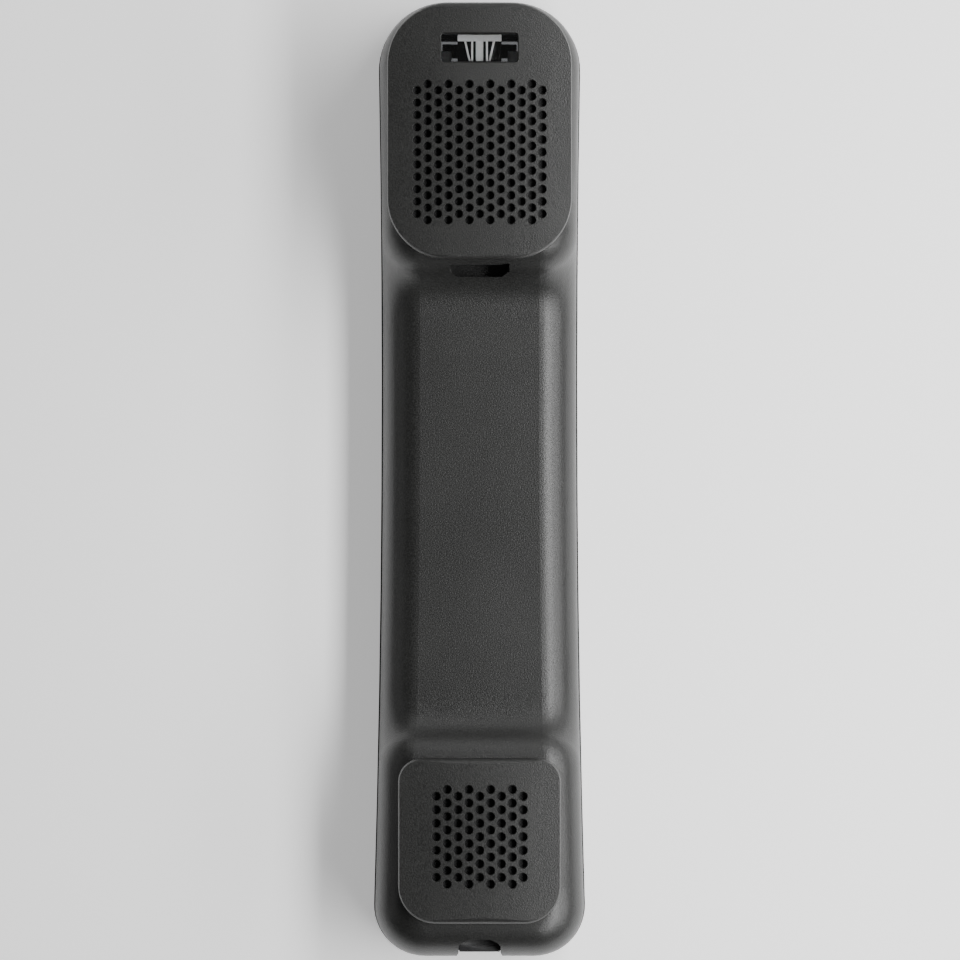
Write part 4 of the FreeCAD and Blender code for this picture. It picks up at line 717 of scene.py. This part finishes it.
under = [(rim_radius, film_low.z), (rim_radius - 0.0003, film_low.z)]
steps = [coil_radius + (rim_radius - 0.0003 - coil_radius) * n / 10 for n in range(9, 0, -1)]
under += [(radius, film_low.z + roll_height(radius)) for radius in steps]
under += [(coil_radius * n / 10, film_low.z + dome_height(coil_radius * n / 10)) for n in range(10, 0, -1)]
under.append((0.00002, film_low.z + dome_rise))
over = [(radius, height + film_thick) for radius, height in reversed(under)]
film_piece = turned("domed_diaphragm", speaker, under + over + [under[0]])
fit_out(film_piece, "moving_coil", "film", amber_film, "receiver_diaphragm")

ring_low, ring_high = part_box("receiver_surround")
ring_outer, ring_inner = (ring_high.x - ring_low.x) / 2, rim_radius + 0.0002
ring_profile = [(ring_inner, ring_low.z), (ring_outer, ring_low.z), (ring_outer, ring_high.z - 0.00005),
                (ring_outer - 0.00005, ring_high.z)]
for n in range(1, 8):
    place_on_ring = ring_outer + (ring_inner - ring_outer) * n / 8
    ring_profile.append((place_on_ring, ring_high.z - (0.00006 if n % 2 else 0.0)))
ring_profile += [(ring_inner, ring_high.z - 0.00005), (ring_inner, ring_low.z)]
fit_out(turned("pressed_surround", speaker, ring_profile), "handset", "film", amber_film, "receiver_surround")

coil_inner = coil_radius - 0.0004
winding = [(coil_inner, coil_low.z), (coil_radius - 0.00008, coil_low.z)]
turns = 20
pitch = (coil_high.z - coil_low.z) / turns
for n in range(turns):
    turn_low = coil_low.z + n * pitch
    winding += [(coil_radius, turn_low + 0.5 * pitch), (coil_radius - 0.00008, turn_low + pitch)]
winding += [(coil_inner, coil_high.z), (coil_inner, coil_low.z)]
enamelled_copper = film_finish("enamelled_copper", (0.36, 0.12, 0.045), (0.60, 0.26, 0.11))
enamelled_copper.node_tree.nodes["Principled BSDF"].inputs["Metallic"].default_value = 0.9
fit_out(turned("wound_coil", speaker, winding), "moving_coil", "coil_copper", enamelled_copper,
        "receiver_voice_coil")

# ---------------------------------------------------------------- microphone capsule
# An electret capsule in a drawn aluminium can with three sound ports, its edge rolled over at the back.
drawn_can = brushed("drawn_can", (0.60, 0.60, 0.61), (0.80, 0.80, 0.81), 0.24, (1, 1, 0.08), 1200.0)
fit_out(softened_copy("microphone_capsule", 0.0002, 3), "handset", "capsule_alloy", drawn_can,
        "microphone_capsule")

# ---------------------------------------------------------------- circuit boards
# Glass-epoxy boards under green lacquer, with tracks showing through as lighter lines: the main one
# under the cord socket, the microphone's disc and the receiver's terminal strip.
green_lacquer, tree, shader = new_material("green_lacquer", (0.01, 0.09, 0.03), 0.25)
shader.inputs["Coat Weight"].default_value = 0.3
place = tree.nodes.new("ShaderNodeTexCoord")
tracks = tree.nodes.new("ShaderNodeTexWave")
tracks.inputs["Scale"].default_value = 130.0
tracks.inputs["Distortion"].default_value = 1.2
tracks.inputs["Detail"].default_value = 0.0
tree.links.new(place.outputs["Object"], tracks.inputs["Vector"])
track_tone = tree.nodes.new("ShaderNodeValToRGB")
track_tone.color_ramp.elements[0].position = 0.62
track_tone.color_ramp.elements[0].color = (0.008, 0.070, 0.024, 1)
track_tone.color_ramp.elements[1].position = 0.70
track_tone.color_ramp.elements[1].color = (0.030, 0.170, 0.060, 1)
tree.links.new(tracks.outputs["Fac"], track_tone.inputs["Fac"])
tree.links.new(track_tone.outputs["Color"], shader.inputs["Base Color"])
fibres = tree.nodes.new("ShaderNodeTexNoise")
fibres.inputs["Scale"].default_value = 1800.0
tree.links.new(place.outputs["Object"], fibres.inputs["Vector"])
add_bump(tree, shader, fibres.outputs["Fac"], 0.1, 0.00002)
for name in ("jack_board", "microphone_board", "receiver_terminals"):
    fit_out(softened_copy(name, 0.00008), "handset", "board_green", green_lacquer, name)

# ---------------------------------------------------------------- solder joints
# Small bright cones of solder where the leads meet the terminal strip and the microphone's board, and
# where the socket's pins come through the main board.
fresh_solder = grained("fresh_solder", (0.58, 0.58, 0.59), (0.78, 0.78, 0.78), 0.2, 0.2, 1600, 0.00003,
                       0.3, 1.0)
lead_names = ("receiver_lead_red", "receiver_lead_black", "microphone_lead_white", "microphone_lead_green")


def solder_cone(name, centre, level, radius, height):
    """A concave cone that hangs under a board, its narrow end downwards."""
    profile = [(0.00002, level), (radius, level), (radius * 0.9, level - height * 0.12),
               (radius * 0.62, level - height * 0.4), (radius * 0.48, level - height * 0.8),
               (radius * 0.3, level - height), (0.00002, level - height), (0.00002, level)]
    return turned(name, centre, profile, 20)


joints = []
pin_board_low, pin_board_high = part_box("jack_board")
for lowest, highest in middles("jack_pins"):
    centre = ((lowest.x + highest.x) / 2, (lowest.y + highest.y) / 2)
    joints.append(solder_cone("joint", centre, pin_board_low.z, 0.00046, 0.0005))
fit_out(as_one("pin_solder", joints), "handset", "steel", fresh_solder)

# ---------------------------------------------------------------- chip parts on the main board
# Two rows of small surface-mounted ceramic capacitors and beads, each with tinned ends.
sintered_ceramic = grained("sintered_ceramic", (0.30, 0.19, 0.10), (0.46, 0.32, 0.19), 0.45, 0.2, 2600,
                           0.00003)
board_top = pin_board_high.z
chip_places = [(x, cad_low.y + y) for x in (-0.0086, 0.0086) for y in (0.0167, 0.0143)]
chip_places += [(x, cad_low.y + 0.0227) for x in (-0.0012, 0.0012)]
bodies, ends = [], []
for x, y in chip_places:
    start_block((x - 0.0005, y - 0.0008, board_top), (x + 0.0005, y + 0.0008, board_top + 0.0007))
    only(lambda middle, normal: normal.z > 0.9)
    bpy.ops.mesh.inset(thickness=0.00008)
    bodies.append(soften(0.00006))
    for way in (-1, 1):
        end_y = y + way * 0.0009
        start_block((x - 0.00055, end_y - 0.0002, board_top),
                    (x + 0.00055, end_y + 0.0002, board_top + 0.00076))
        only(lambda middle, normal: normal.z > 0.9)
        bpy.ops.transform.resize(value=(0.9, 0.8, 1))
        ends.append(soften(0.0001))
fit_out(as_one("chip_bodies", bodies), "handset", "connector_plastic", sintered_ceramic)
fit_out(as_one("chip_ends", ends), "handset", "steel", fresh_solder)

# ---------------------------------------------------------------- cord socket, pins and contacts
# The socket is black glass-filled plastic. Its four gold-plated bronze wires stand in the board and
# fold back as springs that press on the plug.
socket_plastic = grained("socket_plastic", (0.009, 0.009, 0.010), (0.026, 0.026, 0.027), 0.42, 0.2, 2000,
                         0.00006)
fit_out(softened_copy("jack_housing", 0.0001), "handset", "jack_plastic", socket_plastic, "jack_housing")
gold_wire = brushed("gold_wire", (0.62, 0.42, 0.14), (0.86, 0.66, 0.30), 0.18, (0.3, 1, 0.3), 1600.0)
fit_out(softened_copy("jack_pins", 0.00005), "handset", "contact_gold", gold_wire, "jack_pins")
fit_out(softened_copy("jack_contacts", 0.00012, 3), "contact_springs", "contact_gold", gold_wire,
        "jack_contacts")

# ---------------------------------------------------------------- lead connectors
# Natural nylon crimp housings pushed into their headers, with moulded ribs on top to grip them by.
natural_nylon = grained("natural_nylon", (0.62, 0.58, 0.47), (0.80, 0.77, 0.66), 0.38, 0.2, 900, 0.00004)
for name in ("receiver_connector", "microphone_connector"):
    plug_low, plug_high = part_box(name)
    ribs = [softened_copy(name, 0.0002)]
    for step in range(4):
        rib_x = plug_low.x + (plug_high.x - plug_low.x) * (0.2 + 0.2 * step)
        start_block((rib_x - 0.0003, plug_low.y + 0.0014, plug_high.z - 0.0001),
                    (rib_x + 0.0003, plug_high.y - 0.0004, plug_high.z + 0.0003))
        only(lambda middle, normal: normal.z > 0.9)
        bpy.ops.transform.resize(value=(0.6, 0.94, 1))
        ribs.append(soften(0.00008))
    fit_out(as_one(name + "_ribbed", ribs), "handset", "connector_plastic", natural_nylon, name)

# ---------------------------------------------------------------- leads
# Stranded wire in soft sleeves, dressed past the ballast to the receiver and up to the microphone,
# and soldered to their boards at the far end.
sleeves = {
    "receiver_lead_red": ("lead_red", (0.30, 0.012, 0.012), (0.50, 0.030, 0.026)),
    "receiver_lead_black": ("lead_black", (0.008, 0.008, 0.008), (0.028, 0.028, 0.028)),
    "microphone_lead_white": ("lead_white", (0.62, 0.61, 0.58), (0.80, 0.79, 0.76)),
    "microphone_lead_green": ("lead_green", (0.015, 0.16, 0.045), (0.035, 0.28, 0.085)),
}
for name, (slot_name, dark, light) in sleeves.items():
    sleeve = grained(name + "_sleeve", dark, light, 0.3, 0.2, 700, 0.00003, 0.3)
    fit_out(softened_copy(name, 0.00006), "handset", slot_name, sleeve, name)
lead_joints = []
for name in lead_names:
    lead_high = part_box(name)[1]
    tip = [vertex.co for vertex in nodes[name].data.vertices if vertex.co.z > lead_high.z - 0.0001]
    centre = (sum(point.x for point in tip) / len(tip), sum(point.y for point in tip) / len(tip))
    lead_joints.append(solder_cone("joint", centre, lead_high.z, 0.0009, 0.0008))
fit_out(as_one("lead_solder", lead_joints), "handset", "steel", fresh_solder)
